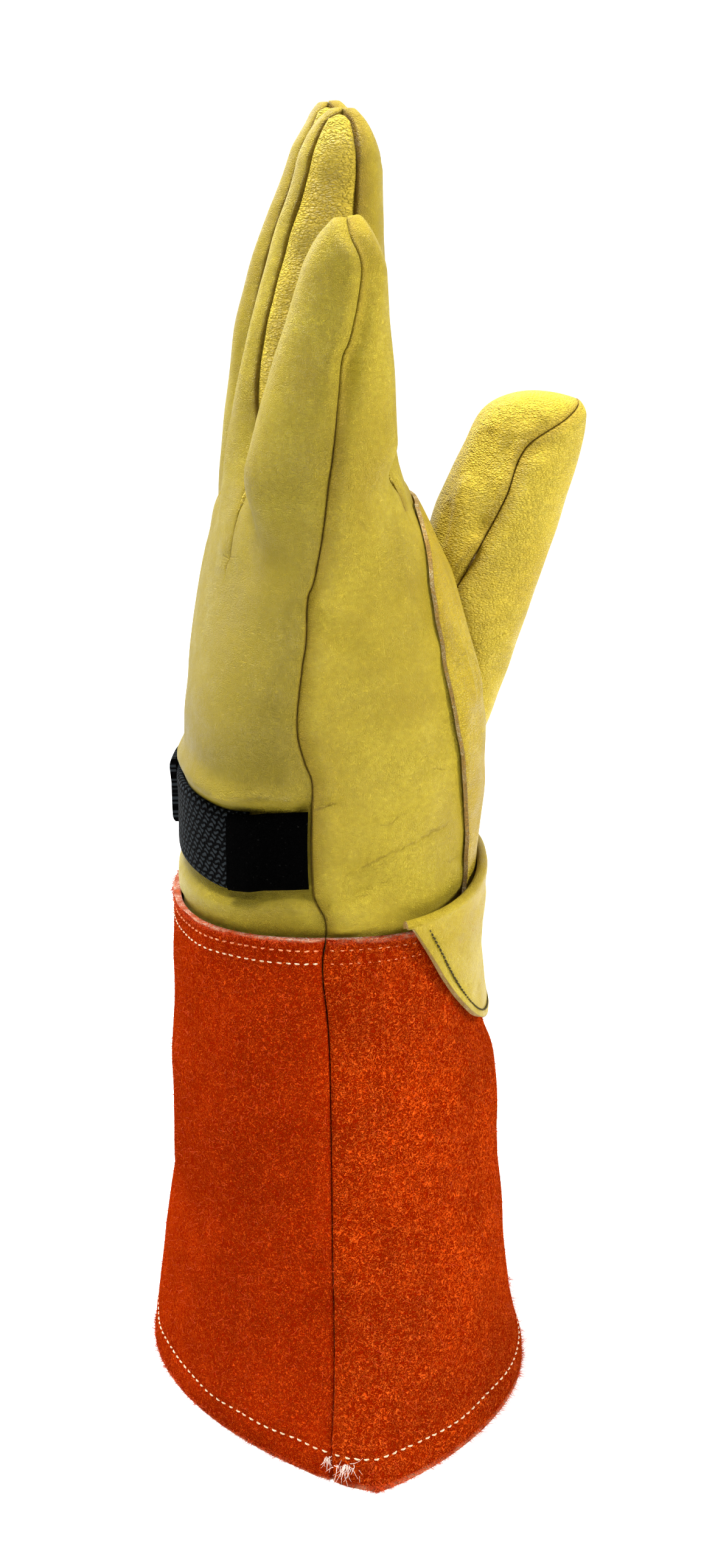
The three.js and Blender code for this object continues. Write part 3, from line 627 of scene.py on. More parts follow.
# Creases of the palm side
PALM_FOLDS = [
    ((-4.4, -51.5, 183.6), (3.5, -50.9, 186.5), 1.1, -0.55),
    ((3.0, -50.6, 165.4), (17.5, -46.9, 172.4), 1.5, -0.6),
    ((16.5, -47.1, 172.4), (31.3, -34.1, 175.0), 1.7, -0.5),
    ((4.0, -50.5, 168.6), (19.0, -46.0, 176.0), 2.6, 0.5),
    ((4.8, -50.4, 162.0), (17.5, -46.6, 163.7), 1.1, -0.4),
    ((16.5, -46.9, 163.7), (33.7, -27.9, 164.4), 1.3, -0.45),
    ((10.0, -49.8, 160.2), (33.0, -29.0, 159.6), 1.1, -0.3),
    ((9.0, -49.8, 179.0), (24.0, -43.0, 184.0), 1.2, -0.3),
    ((21.0, -45.5, 194.8), (33.0, -34.7, 194.2), 1.0, -0.3),
    ((20.0, -45.8, 191.0), (33.8, -33.9, 190.0), 1.0, -0.3),
    ((14.0, -47.8, 187.0), (27.0, -41.0, 186.2), 1.2, -0.25),
    ((16.7, -46.5, 218.1), (30.7, -32.9, 222.4), 3.2, 0.4),
    ((12.0, -48.0, 206.0), (27.0, -40.5, 203.0), 3.4, 0.35),
    ((-2.0, -51.3, 150.0), (11.0, -49.6, 157.5), 4.2, 1.9),
    ((-4.0, -51.3, 156.5), (9.0, -50.0, 162.5), 1.3, -0.7),
    ((-3.4, -51.3, 155.0), (0.0, -50.8, 150.2), 1.0, -0.6),
    ((-4.6, -51.8, 236.0), (11.0, -49.0, 229.0), 2.6, 0.7),
    ((-4.4, -51.8, 230.0), (10.0, -49.3, 223.0), 3.0, -0.4),
    ((16.7, -44.2, 236.4), (21.9, -40.3, 227.3), 2.6, 0.4),
    ((13.0, -45.6, 250.0), (4.0, -50.8, 262.0), 2.4, 0.4),
    ((14.0, -45.2, 256.0), (6.0, -50.2, 268.0), 1.6, -0.35),
    ((11.5, -47.5, 282.0), (6.0, -51.5, 292.0), 2.2, 0.35),
]


def thumb_gap(points):
    """How far points lie outside the thumb's tube, negative inside it: measured from the nearest
    point of the axis as a share of the tube's section there."""
    along = np.linspace(0, THUMB_LENGTH, 67)
    centre, _, outer, width = thumb_axes(along)
    flat = points.reshape(-1, 3)
    nearest = np.argmin(((flat[:, None] - centre[None]) ** 2).sum(-1), 1)
    off = flat - centre[nearest]
    thick, wide = THUMB("thick", along)[nearest], THUMB("wide", along)[nearest]
    across = (off * outer[nearest]).sum(-1) / thick
    side = (off * width[nearest]).sum(-1) / wide
    return ((np.hypot(across, side) - 1) * (thick + wide) / 2).reshape(points.shape[:-1])


def hand_panel(side, name, folded, materials):
    """The back or the palm panel: one strip of leather for each finger, joined below the slits. The
    relief is made of creases, soft waves, the tucked seams with their puckers, the swells beside the
    strap or over the tab, and a ridge or a dip beside the little finger's seam. At the side seams
    the outer skins keep a fine gap, and the inner skins lap."""
    sheet = Hide()
    wrist = heights(HAND_BOTTOM, SLIT_TOP[side], ROW_STEP)
    joined = len(wrist)
    before = None
    for index, (_, tip, _) in enumerate(FINGERS):
        shaft = heights(SLIT_TOP[side], tip - FINGER_DOME, ROW_STEP)[1:]
        z = np.concatenate([wrist, shaft, dome_heights(tip, FINGER_DOME, DOME_ROWS)])
        across, level = np.meshgrid(COLUMNS, z)
        point, out = strip_point(side, index, across, level)
        first, last = edges(point)
        width = smooth(first[:, -1:], *TUCK_SPAN)
        open_slit = smooth(level, SLIT_END[side] - SLIT_TUCK[0], SLIT_END[side] + SLIT_TUCK[1])
        sewn_first = width * (1 if index == 0 else open_slit)
        sewn_last = width * (1 if index == LAST else open_slit)
        sunk = np.maximum(tuck(first, sewn_first), tuck(last, sewn_last))
        swell = puff(first) * sewn_first + puff(last) * sewn_last
        swell += waved(point, HAND_WAVES, side)
        beside = bell(first, PUCKER_REACH) * sewn_first + bell(last, PUCKER_REACH) * sewn_last
        swell += waved(point, PUCKER_WAVES, side) * beside
        swell += folds(point, out, folded)
        if side == BACK:
            inside = smooth(first + 50 * (index > 0), 1, 6)
            swell += strap_swell(strip_turn(index, across), level) * inside
        else:
            swell += bell(level, *TAB_BULGE) * smooth(first, 0, 5)
            swell -= PALM_DIP * bell(first, PALM_DIP_WIDTH) * (index == 0)
        if index == 0:
            ridge = RIDGE_HEIGHT[side] * bell(first, RIDGE_WIDTH[side], RIDGE_PLACE)
            upper = smooth(level, *RIDGE_SPAN) * smooth(tip - level, 0, 8) * smooth(first, 0, 2)
            swell += upper * ridge
        swell *= smooth(level, CUFF_TOP, CUFF_TOP + 3)
        outer, inner = skins(point, out, swell, sunk)
        outer[..., 0] += side * GAP / 2
        inner[..., 0] -= side * SEAM_LAP / 2
        nearest = np.minimum(np.where(sewn_first > 0.5, first, FAR),
                             np.where(sewn_last > 0.5, last, FAR))
        nearest = nearest + 0.45 * smooth(level, *RIDGE_SPAN) * (index == 0)
        number = sheet.lay(outer, inner, nearest)
        number[-1] = number[-1, 0]
        if before is not None:
            number[:joined, 0] = before[:joined, -1]
        sheet.cells(number, open_cells(thumb_gap(point) < -THUMB_HOLE) if side == PALM else None)
        before = number
    return sheet.piece(name, materials)


def fourchette_point(index, share, along):
    """A strip between two fingers, its outward direction, and the direction of the panels that it is
    sewn to. The strip bows out like the tubes of its two fingers and arches over the crotch, where
    it faces like a saddle. share runs from 0 at the back to 1 at the palm, and along from -1 at the
    tip of one finger through 0 at the crotch to 1 at the tip of the next."""
    def limb(which, facing, up):
        finger = FINGERS[which]
        _, tip, _ = finger
        end = tip - FINGER_DOME * (1 - FOURCHETTE_END)
        across = np.full_like(up, 1.0 if facing > 0 else 0.0)
        back_z, palm_z = lerp(SLIT_TOP[BACK], end, up), lerp(SLIT_TOP[PALM], end, up)
        z = lerp(back_z, palm_z, share)
        back_edge, back_out = strip_point(BACK, which, across, back_z)
        palm_edge, palm_out = strip_point(PALM, which, across, palm_z)

        def tube(at, height):
            first = border_angle(BACK, tip, height)
            last = math.pi - border_angle(PALM, tip, height)
            return finger_point(BACK, finger, facing * lerp(first, last, at), height)

        side_point, side_out = tube(share, z)
        chord = lerp(tube(0.0, back_z)[0], tube(1.0, palm_z)[0], share[..., None])
        full = (smooth(back_z, SLIT_TOP[BACK], SLIT_TOP[BACK] + SLIT_BLEND[BACK])
                + smooth(palm_z, SLIT_TOP[PALM], SLIT_TOP[PALM] + SLIT_BLEND[PALM])) / 2
        point = lerp(back_edge, palm_edge, share[..., None])
        point = point + (side_point - chord) * full[..., None]
        point[..., 2] += (1 - full) * CROTCH_ARCH * (4 * share * (1 - share)) ** ARCH_ROUND
        turn = math.pi * share
        saddle = np.stack([-np.cos(turn), np.zeros_like(turn), np.sin(turn) + SADDLE_LIFT], -1)
        return (point, unit(lerp(saddle, side_out, full[..., None])),
                unit(lerp(back_out, palm_out, share[..., None])))

    low = along < 0
    up = np.abs(along)
    left = limb(index, 1, up)
    right = limb(index + 1, -1, up)
    return (np.where(low[..., None], one, other) for one, other in zip(left, right))


def fourchette(index, name, materials):
    """The strip between two fingers: its edges sink under the panels beside it, and it is tucked in
    along both edges and at both ends."""
    sheet = Hide()
    up = np.linspace(0, 1, 92) ** 0.94
    along = np.concatenate([-up[:0:-1], up])
    edge = (0.003, 0.01, 0.022, 0.036, 0.055, 0.08, 0.11, 0.15)
    share, level = np.meshgrid(gathered(14, edge), along)
    point, out, away = fourchette_point(index, share, level)
    first, last = edges(point)
    under = STRIP_SINK * (bell(first, STRIP_SINK_WIDTH) + bell(last, STRIP_SINK_WIDTH))
    point = point - away * under[..., None]
    width = smooth(first[:, -1:], 1, 8)
    ends = smooth(1 - np.abs(level), 0, 0.02)
    sunk = np.maximum(tuck(first, width), tuck(last, width))
    sunk = np.maximum(sunk, SEAM_DEPTH * (1 - ends))
    swell = (puff(first, 0.3) + puff(last, 0.3)) * width + waved(point, FOURCHETTE_WAVES, index)
    outer, inner = skins(point, out, swell * ends, sunk)
    sheet.cells(sheet.lay(outer, inner, np.minimum(first, last)))
    return sheet.piece(name, materials)


# The thumb
def thumb_axes(along):
    """The thumb's centre line with three directions: along it, away from the fingers, and across."""
    def centre(at):
        return np.stack([THUMB("x", at), THUMB("y", at), THUMB("z", at)], -1)

    axis = unit(centre(along + 1) - centre(along - 1))
    outer = unit(np.cross(np.array([0.0, 1.0, 0.0]), axis))
    return centre(along), axis, outer, np.cross(axis, outer)


def thumb_point(angle, along):
    """The thumb's tube and its outward direction: a squared ellipse about its axis that shrinks to a
    slanted, blunt tip."""
    centre, axis, outer, width = thumb_axes(along)
    dome = np.clip((along - THUMB_LENGTH + THUMB_DOME) / THUMB_DOME, 0, 1)
    shrink = np.sqrt(1 - dome ** THUMB_DOME_ROUND)
    slant = THUMB_SLANT * dome * (1 - dome) * shrink
    cos = power(np.cos(angle), FINGER_ROUND)
    sin = power(np.sin(angle), FINGER_ROUND)
    point = (centre
             + outer * (THUMB("thick", along) * shrink * cos
                        + THUMB_POLE * (1 - shrink))[..., None]
             + width * (THUMB("wide", along) * shrink * sin)[..., None]
             + axis * (slant * cos)[..., None])
    level = unit(outer * cos[..., None] + width * sin[..., None])
    return point, unit(level * shrink[..., None] + axis * (dome ** 2)[..., None])


# Creases of the thumb
THUMB_FOLDS = [
    ((60.0, 25.5, 277.5), (52.2, 22.8, 271.5), 1.9, 0.8),
    ((53.2, 23.0, 272.0), (47.3, 21.5, 261.5), 1.9, 0.8),
    ((47.8, 21.6, 262.5), (42.5, 20.2, 247.0), 1.9, 0.7),
    ((57.5, 25.0, 276.5), (50.5, 23.6, 270.0), 2.4, -0.9),
    ((51.5, 23.8, 271.0), (46.0, 22.4, 260.0), 2.6, -1.2),
    ((46.8, 22.4, 262.0), (40.0, 20.2, 242.0), 2.4, -1.1),
    ((43.5, 28.0, 272.5), (39.0, 25.5, 256.0), 4.5, -0.9),
    ((37.5, 27.0, 260.0), (32.5, 20.7, 236.0), 3.0, 0.9),
    ((32.5, 27.5, 252.0), (29.5, 23.5, 240.0), 2.6, -0.9),
    ((41.9, 19.9, 241.0), (33.5, 18.6, 229.4), 1.0, -1.0),
    ((40.5, 20.0, 243.0), (34.0, 18.8, 233.5), 1.5, 0.8),
    ((53.5, 22.6, 266.0), (63.0, 25.0, 269.0), 2.2, -0.5),
    ((52.0, 22.0, 261.0), (64.0, 25.6, 263.5), 3.0, 0.35),
    ((43.0, 18.2, 213.0), (51.0, 22.5, 217.5), 1.6, -0.35),
    ((42.0, 18.0, 217.5), (52.0, 23.0, 222.0), 2.2, 0.3),
]


def palm_gap(points):
    """How far points lie in front of the palm's surface, or beside it."""
    y, z = points[..., 1], points[..., 2]
    inside = np.abs(y) < HAND("half", z)
    surface, out = hand_point(PALM, turn_at(y, z), z)
    gap = (points[..., 0] - surface[..., 0]) * np.maximum(out[..., 0], LEAST_FACING)
    beside = np.abs(y) - HAND("half", z)
    return np.where(inside, gap, np.maximum(beside, 0) + np.maximum(gap, 0))


def thumb_half(half, name, materials):
    """One half of the thumb, from the palm to the tip, tucked in along its seams and where it is set
    into the palm. half is 1 for the front, which faces as the palm does, and -1 for the back."""
    sheet = Hide()
    shaft = heights(0, THUMB_LENGTH - THUMB_DOME, ROW_STEP)
    along = np.concatenate([shaft, dome_heights(THUMB_LENGTH, THUMB_DOME, THUMB_DOME_ROWS)])
    edge = (0.0008, 0.003, 0.007, 0.012, 0.018, 0.025, 0.034, 0.045, 0.058)
    across, level = np.meshgrid(gathered(44, edge), along)
    offset = np.clip(THUMB("seam", level) / THUMB("thick", level), -SEAM_LIMIT, SEAM_LIMIT)
    seam = np.arccos(power(offset, 1 / FINGER_ROUND))
    first_angle = -seam if half == 1 else np.full_like(seam, -1.5 * math.pi)
    last_angle = np.full_like(seam, math.pi / 2) if half == 1 else -seam
    point, out = thumb_point(lerp(first_angle, last_angle, across), level)
    first, last = edges(point)
    width = smooth(first[:, -1:], *TUCK_SPAN)
    gap = palm_gap(point)
    sunk = np.maximum(tuck(first, width), tuck(last, width))
    set_in = tuck(np.maximum(gap - THUMB_SET_START, 0), 1.0, *THUMB_SET) * (gap < THUMB_SET_END)
    swell = (puff(first) + puff(last)) * width
    swell += waved(point, THUMB_WAVES)
    swell += THUMB_FOLDING * folds(point, out, THUMB_FOLDS)
    swell *= smooth(THUMB_LENGTH - level, 0, 6)
    outer, inner = skins(point, out, swell, np.maximum(sunk, set_in))
    outer[..., 0] += half * GAP / 2
    inner[..., 0] += half * GAP / 2
    number = sheet.lay(outer, inner, np.minimum(first, last))
    number[-1] = number[-1, 0]
    sheet.cells(number, open_cells(gap < -THUMB_SUNK))
    return sheet.piece(name, materials)


# Creases of the palm patch
PATCH_CREASES = [
    ((30.0, -21.0, 236.0), (33.0, -25.8, 223.5), 0.5, 0.6),
    ((33.0, -25.8, 224.5), (37.6, -24.4, 203.0), 0.5, 0.7),
    ((31.4, -16.0, 236.0), (34.6, -20.4, 223.0), 0.5, 0.6),
    ((34.6, -20.4, 224.0), (39.0, -19.4, 203.0), 0.5, 0.7),
    ((38.8, -24.0, 204.0), (39.5, -20.0, 184.0), 0.6, 0.5),
    ((35.5, -29.5, 212.0), (37.6, -27.0, 190.0), 0.5, 0.5),
]
PATCH_FOLDS = [
    ((30.4, -18.0, 236.0), (33.6, -23.3, 223.9), 0.8, 0.55),
    ((33.6, -23.3, 224.6), (38.3, -22.1, 205.0), 0.8, 0.55),
    ((29.0, -24.5, 236.0), (32.0, -28.3, 223.9), 0.8, 0.45),
    ((32.0, -28.3, 224.6), (36.7, -26.7, 204.0), 0.8, 0.45),
    ((31.9, -13.5, 234.0), (35.2, -18.0, 223.0), 0.8, 0.5),
    ((35.2, -18.0, 223.6), (39.4, -17.0, 205.0), 0.8, 0.5),
    ((30.0, -21.0, 235.0), (33.0, -25.8, 223.0), 0.9, -0.3),
    ((33.0, -25.8, 224.0), (37.5, -24.4, 206.0), 0.9, -0.3),
]


def palm_patch(materials):
    """The second layer over the thumb side of the palm, with a raw free edge that stands up a
    little."""
    sheet = Hide()
    z = heights(PATCH_BOTTOM, PATCH_TOP, 1.2)
    edge = (0.0, 0.004, 0.009, 0.016, 0.025)
    share, level = np.meshgrid(np.concatenate([edge, np.linspace(0.035, 1, 74)]), z)
    border = turn_at(PATCH_EDGE("y", level), level)
    waver = waved(np.stack([level * 0, level * 0, level], -1), PATCH_EDGE_WAVES) / 50
    point, out = hand_point(PALM, lerp(border + waver * (1 - share), PATCH_END, share), level)
    first, _ = edges(point)
    free = np.minimum(first, PATCH_TOP - level)
    gap = thumb_gap(point)
    lift = LAP + PATCH_LEATHER - RAW_EDGE_DROP * bell(free, RAW_EDGE)
    swell = waved(point, PATCH_WAVES) + folds(point, out, PATCH_FOLDS)
    swell -= tuck(np.maximum(gap, 0), 1.0, *PATCH_SET) * (gap < PATCH_SET_END)
    swell *= smooth(free, 0, 3)
    outer = point + out * (lift + swell)[..., None]
    inner = outer - out * (PATCH_LEATHER - RAW_EDGE_THIN * bell(free, RAW_EDGE))[..., None]
    sheet.cells(sheet.lay(outer, inner, free), open_cells(gap < -PATCH_HOLE))
    return sheet.piece("palm_patch", materials)


# The cuff
def cuff_point(angle, z):
    """The cuff's surface and its outward direction: a squared oval that turns towards the rim, and
    whose back swings towards the thumb. angle is positive towards the palm."""
    turn = np.radians(CUFF("turn", z))
    end, flank, half = CUFF("end", z), CUFF("flank", z), CUFF("side", z)
    sin, cos = np.sin(angle), np.cos(angle)
    reach = np.where(sin < 0, CUFF("back", z), CUFF("palm", z))
    swing = CUFF("swing", z) * np.maximum(-sin, 0) ** 2

    def turned(x, y):
        return np.stack([x * np.cos(turn) - y * np.sin(turn),
                         x * np.sin(turn) + y * np.cos(turn), np.zeros_like(x)], -1)

    point = turned(reach * power(sin, end), swing - half * power(cos, flank))
    point[..., 0] += CUFF("mid", z)
    point[..., 2] = z
    out = unit(turned(power(sin, 2 - end) / reach, -power(cos, 2 - flank) / half))
    return point, out


def cuff_seam_angle(z):
    """The angle of the cuff's little-finger seam, found by halving."""
    low, high = (np.full_like(z, angle) for angle in SEAM_SEARCH)
    for _ in range(30):
        middle = (low + high) / 2
        below = cuff_point(middle, z)[0][..., 0] < SIDE_SEAM("ulnar", z)
        low, high = np.where(below, middle, low), np.where(below, high, middle)
    return low


def hem_share(level):
    """1 in the hem band and 0 above it."""
    return smooth(HEM_HEIGHT + 1 - level, 0, 2)


def cuff_swell(point, level):
    """Soft dents and swells of the suede, the hem band that stands a little proud, and the grooves
    that the rows of stitches pull in."""
    swell = waved(point, CUFF_WAVES) * smooth(level, 0, 10)
    swell = np.maximum(swell, -DENT_LIMIT) + HEM_PROUD * hem_share(level)
    swell -= 0.35 * bell(level, 0.9, HEM_HEIGHT)
    for line in TOP_LINES:
        swell -= 0.22 * bell(level, 0.7, line)
    return swell


def cuff_surface(side, share, z):
    """A point of a cuff panel before its relief, and its outward direction."""
    gap = GAP / 2 / CUFF("side", CUFF_TOP)
    seam = cuff_seam_angle(z)
    return cuff_point(seam + side * lerp(gap, math.pi - gap, share), z)


def cuff_relief(point, level):
    """The relief of a cuff panel and how far its side edges turn in."""
    first, last = edges(point)
    sunk = np.maximum(tuck(first, 1.0, *SUEDE_SEAM), tuck(last, 1.0, *SUEDE_SEAM))
    return cuff_swell(point, level) + puff(first) + puff(last), sunk


def cuff_panel(side, name, materials):
    """Half of the cuff, with a thicker hem band at its rim."""
    sheet = Hide()
    z = np.concatenate([heights(0, 12, 0.8), heights(12, CUFF_TOP, 1.35)[1:]])
    edge = (0.0002, 0.0006, 0.0012, 0.002, 0.003, 0.0045, 0.007, 0.011, 0.016, 0.022)
    share, level = np.meshgrid(gathered(112, edge), z)
    point, out = cuff_surface(side, share, level)
    wall = lerp(SUEDE, HEM_SUEDE, hem_share(level))
    outer, inner = skins(point, out, *cuff_relief(point, level), wall, LEAST_SUEDE)
    sheet.cells(sheet.lay(outer, inner, np.minimum(level, CUFF_TOP - level)))
    return sheet.piece(name, materials)


def cuff_line(side, z, low, high):
    """A level line on a cuff panel, between two shares of its width, and the directions out of it."""
    share = np.linspace(0, 1, 1200)[None]
    level = np.full_like(share, z)
    point, out = cuff_surface(side, share, level)
    swell, sunk = cuff_relief(point, level)
    kept = (share > low) & (share < high)
    return (point + out * (swell - sunk)[..., None])[kept], out[kept]


# The wrist tab
def tab_turn(y):
    """The angle on the cuff's oval of a place across the palm."""
    return np.arccos(np.clip(power(-y / CUFF("side", CUFF_TOP), 1 / HAND_ROUND), -1, 1))


def tab_limits(y):
    """Top and bottom of the tab at a place across it."""
    reach = np.where(y < 0, y / TAB_REACH[0], y / TAB_REACH[1])
    top = TAB_TOP + TAB_CROWN * (1 - reach ** 2)
    return top, np.minimum(TAB_TIP + (TAB_TOP - TAB_TIP) * reach ** 4, top - 2)


def tab_point(y, z):
    """The tab's outer surface and its outward direction: the cuff's surface, lifted by the tab's
    own thickness."""
    point, out = cuff_point(tab_turn(y), z)
    return point + out * (LAP + TAB_LEATHER + CLEAR), out


def tab_stitch_line():
    """The line of stitches that runs a little inside the tab's lower edge, and the directions out
    of the tab there."""
    y = np.linspace(TAB_REACH[0] + 1.2, TAB_REACH[1] - 1.2, 900)
    top, bottom = tab_limits(y)
    slope = np.gradient(bottom, y)
    across = y - TAB_INSET * slope / np.hypot(1, slope)
    level = bottom + TAB_INSET / np.hypot(1, slope)
    keep = level < top - 3
    return tab_point(across[keep], level[keep])


def wrist_tab(materials):
    """The tab: a roll along its top edge and one sheet down to its rounded tip."""
    sheet = Hide()
    share = gathered(88, (0.003, 0.007, 0.013, 0.02))
    y = lerp(TAB_REACH[0], TAB_REACH[1], share)
    top, bottom = tab_limits(y)
    around = np.radians(np.arange(-40, 181, 20))[:, None]
    point, out = cuff_point(tab_turn(y), top)
    upward = np.array([0.0, 0.0, 1.0])
    centre = point + out * (LAP + ROLL) - upward * ROLL
    spoke = -out[None] * np.cos(around)[..., None] + upward * np.sin(around)[..., None]
    roll = centre[None] + spoke * ROLL
    roll_in = centre[None] + spoke * 0.4
    down = np.concatenate([[0.02, 0.05, 0.09], np.linspace(0.13, 1, 30)])[:, None]
    level = lerp(top[None] - ROLL, bottom[None], down)
    face, face_out = tab_point(np.broadcast_to(y, level.shape), level)
    below = top[None] - ROLL - level
    lift = (2 * ROLL - TAB_LEATHER - CLEAR) * np.exp(-below / 3.0)
    lift -= 0.25 * bell(below, 2, 6)
    lift += waved(face, TAB_WAVES)
    slope = np.gradient(bottom, y)[None]
    inside = (level - bottom[None]) / np.hypot(1, slope)
    lift -= 0.4 * bell(inside, 0.55, TAB_INSET)
    lift += 0.25 * bell(inside, 0.6, 0.9)
    outer = face + face_out * lift[..., None]
    inner = outer - face_out * TAB_LEATHER
    first, last = edges(face)
    free = np.minimum(level - bottom[None], np.minimum(first, last))
    edge = np.concatenate([np.full(roll.shape[:-1], 9.0), free])
    sheet.cells(sheet.lay(np.concatenate([roll, outer]), np.concatenate([roll_in, inner]), edge))
    return sheet.piece("wrist_tab", materials)


# The strap
def band_point(turn, z, lift):
    """The back of the wrist, raised by a lift, and its outward direction."""
    point, out = hand_point(BACK, turn, z)
    return point + out * lift[..., None], out


def band(name, span, height, width, wall, lift, columns, materials, rough=0.0):
    """A band round the back of the wrist: its edges are thinner than its middle, and its surface
    carries a grid of lengths for the weave."""
    sheet = Hide()
    part, turn = np.meshgrid(np.linspace(-0.5, 0.5, 25), np.linspace(*span, columns),
                             indexing="ij")
    z = height(turn) + part * width
    edge = (1 - np.abs(2 * part)) * width / 2
    thin = wall * (1 - 0.45 * np.exp(-edge / 0.7))
    point, out = band_point(turn, z, lift(turn) + thin + BAND_CROWN * (1 - (2 * part) ** 2))
    along = run(point)
    point = point + out * (rough * ripple(point, 5, 81))[..., None]
    inner = point - out * np.maximum(thin, 0.4)[..., None]
    sheet.cells(sheet.lay(point, inner, edge))
    thing = sheet.piece(name, materials)
    grid = np.stack([along.ravel(), ((part + 0.5) * width).ravel()], 1) / 1000
    weave_map(thing, np.concatenate([grid, grid]))
    return thing


def weave_map(thing, grid):
    """Lengths along and across a band as its UV map, in metres."""
    mesh = thing.data
    corner = np.zeros(len(mesh.loops), np.int32)
    mesh.loops.foreach_get("vertex_index", corner)
    layer = mesh.uv_layers.new(name="weave")
    layer.data.foreach_set("uv", grid[corner].astype(np.float32).ravel())


def wrist_strap(materials):
    """The strap round the back of the wrist."""
    return band("wrist_strap", STRAP_SPAN, strap_height, STRAP_WIDTH, WEBBING,
                lambda turn: np.full_like(turn, LAP), 200, materials)


def strap_tail(materials):
    """The doubled-back end of the strap, lying on it."""
    return band("strap_tail", TAIL_SPAN,
                lambda turn: STRAP_HEIGHT + TAIL_RISE * np.sin(turn), STRAP_WIDTH - 3, WEBBING,
                lambda turn: np.full_like(turn, LAP + WEBBING + CLEAR), 90, materials)


def strap_patch(materials):
    """The pile patch at the strap's little-finger end, which lies partly on the strap."""
    return band("strap_patch", PILE_SPAN, strap_height, STRAP_WIDTH - 0.6, PILE,
                lambda turn: LAP + (WEBBING + CLEAR) * smooth(turn, 0.26, 0.38), 110, materials,
                rough=0.08)


# Thread
def strands(name, paths, radius, material, sides=6):
    """Thin strands, each a ring of a few points carried along its own path and closed to a point at
    both ends. paths holds one row of points for each strand, and radius one value for each point."""
    number, length, _ = paths.shape
    axis = unit(np.gradient(paths, axis=1))
    guide = np.where(np.abs(axis[:, :1, 2:]) < 0.8, np.array([0.0, 0, 1]), np.array([1.0, 0, 0]))
    side = unit(np.cross(axis, np.broadcast_to(guide, axis.shape)))
    up = np.cross(axis, side)
    angle = np.arange(sides) * 2 * math.pi / sides
    ring = (side[:, :, None] * np.cos(angle)[:, None] + up[:, :, None] * np.sin(angle)[:, None])
    points = paths[:, :, None] + ring * radius[..., None, None]
    grid = np.arange(number * length * sides).reshape(number, length, sides)
    after = np.roll(grid, -1, axis=2)
    fours = np.stack([grid[:, :-1], after[:, :-1], after[:, 1:], grid[:, 1:]], -1).reshape(-1, 4)
    tips = points.size // 3 + np.arange(2 * number).reshape(2, number)
    ends = np.concatenate([paths[:, 0], paths[:, -1]])
    low = np.stack([after[:, 0], grid[:, 0], np.repeat(tips[0][:, None], sides, 1)], -1)
    high = np.stack([grid[:, -1], after[:, -1], np.repeat(tips[1][:, None], sides, 1)], -1)
    threes = np.concatenate([low.reshape(-1, 3), high.reshape(-1, 3)])
    everything = np.concatenate([points.reshape(-1, 3), ends])
    slots = np.zeros(len(fours) + len(threes), int)
    return finished(name, everything, fours, threes, slots, np.full(len(everything), FAR),
                    [material], angle=80)


def stitches(line, out, pitch, length, seed, sink, height, thick, jitter=0.12):
    """Stitches along a line of points: each is a short arc that rises from the leather and goes back
    in. Returns the paths and the radius at each of their points."""
    dice = np.random.default_rng(seed)
    step = np.linalg.norm(np.diff(line, axis=0), axis=-1)
    at = np.concatenate([[0], np.cumsum(step)])
    count = int(at[-1] // pitch)
    start = (np.arange(count) + 0.5) * at[-1] / count + dice.normal(0, jitter, count)
    size = length * (1 + dice.normal(0, 0.07, count))
    share = np.linspace(0, 1, 7)
    where = np.clip(start[:, None] + (share - 0.5) * size[:, None], 0, at[-1])
    tilt = dice.normal(0, 0.10, count)[:, None] * (share - 0.5)

    def read(values):
        return np.stack([np.interp(where, at, values[:, k]) for k in range(3)], -1)

    along, away = read(line), unit(read(out))
    rise = (height + sink) * np.sin(math.pi * share) ** 0.6 - sink
    ahead = unit(np.gradient(along, axis=1))
    beside = np.cross(ahead, away)
    paths = along + away * rise[None, :, None] + beside * (tilt * size[:, None])[..., None]
    radius = thick * (0.45 + 0.55 * np.sin(math.pi * share) ** 0.5)
    return paths, np.broadcast_to(radius, paths.shape[:2])


def fibres(root, direction, length, bend, seed, thick, count):
    """Short hairs: each starts at a root, goes out along its direction and bends to one side.
    Returns the paths and the radius at each of their points."""
    dice = np.random.default_rng(seed)
    share = np.linspace(0, 1, count)
    lean = unit(dice.normal(size=root.shape))
    size = (length * dice.uniform(0.35, 1.3, len(root)))[:, None, None]
    direction = unit(direction + 0.55 * dice.normal(size=root.shape))
    paths = (root[:, None] + direction[:, None] * share[None, :, None] * size
             + lean[:, None] * (bend * share ** 2)[None, :, None] * size)
    radius = thick * (1 - 0.75 * share)
    return paths, np.broadcast_to(radius, paths.shape[:2])


def scattered(side, count, low, high, seed):
    """Random places on a cuff panel between two heights, and the directions out of it there."""
    dice = np.random.default_rng(seed)
    share = dice.uniform(0.003, 0.997, count)[None]
    level = dice.uniform(low, high, count)[None]
    point, out = cuff_surface(side, share, level)
    return (point + out * cuff_swell(point, level)[..., None])[0], out[0]


def grounded(paths, radius):
    """Hairs that stay above the floor."""
    paths[..., 2] = np.maximum(paths[..., 2], radius + 0.02)
    return paths, radius


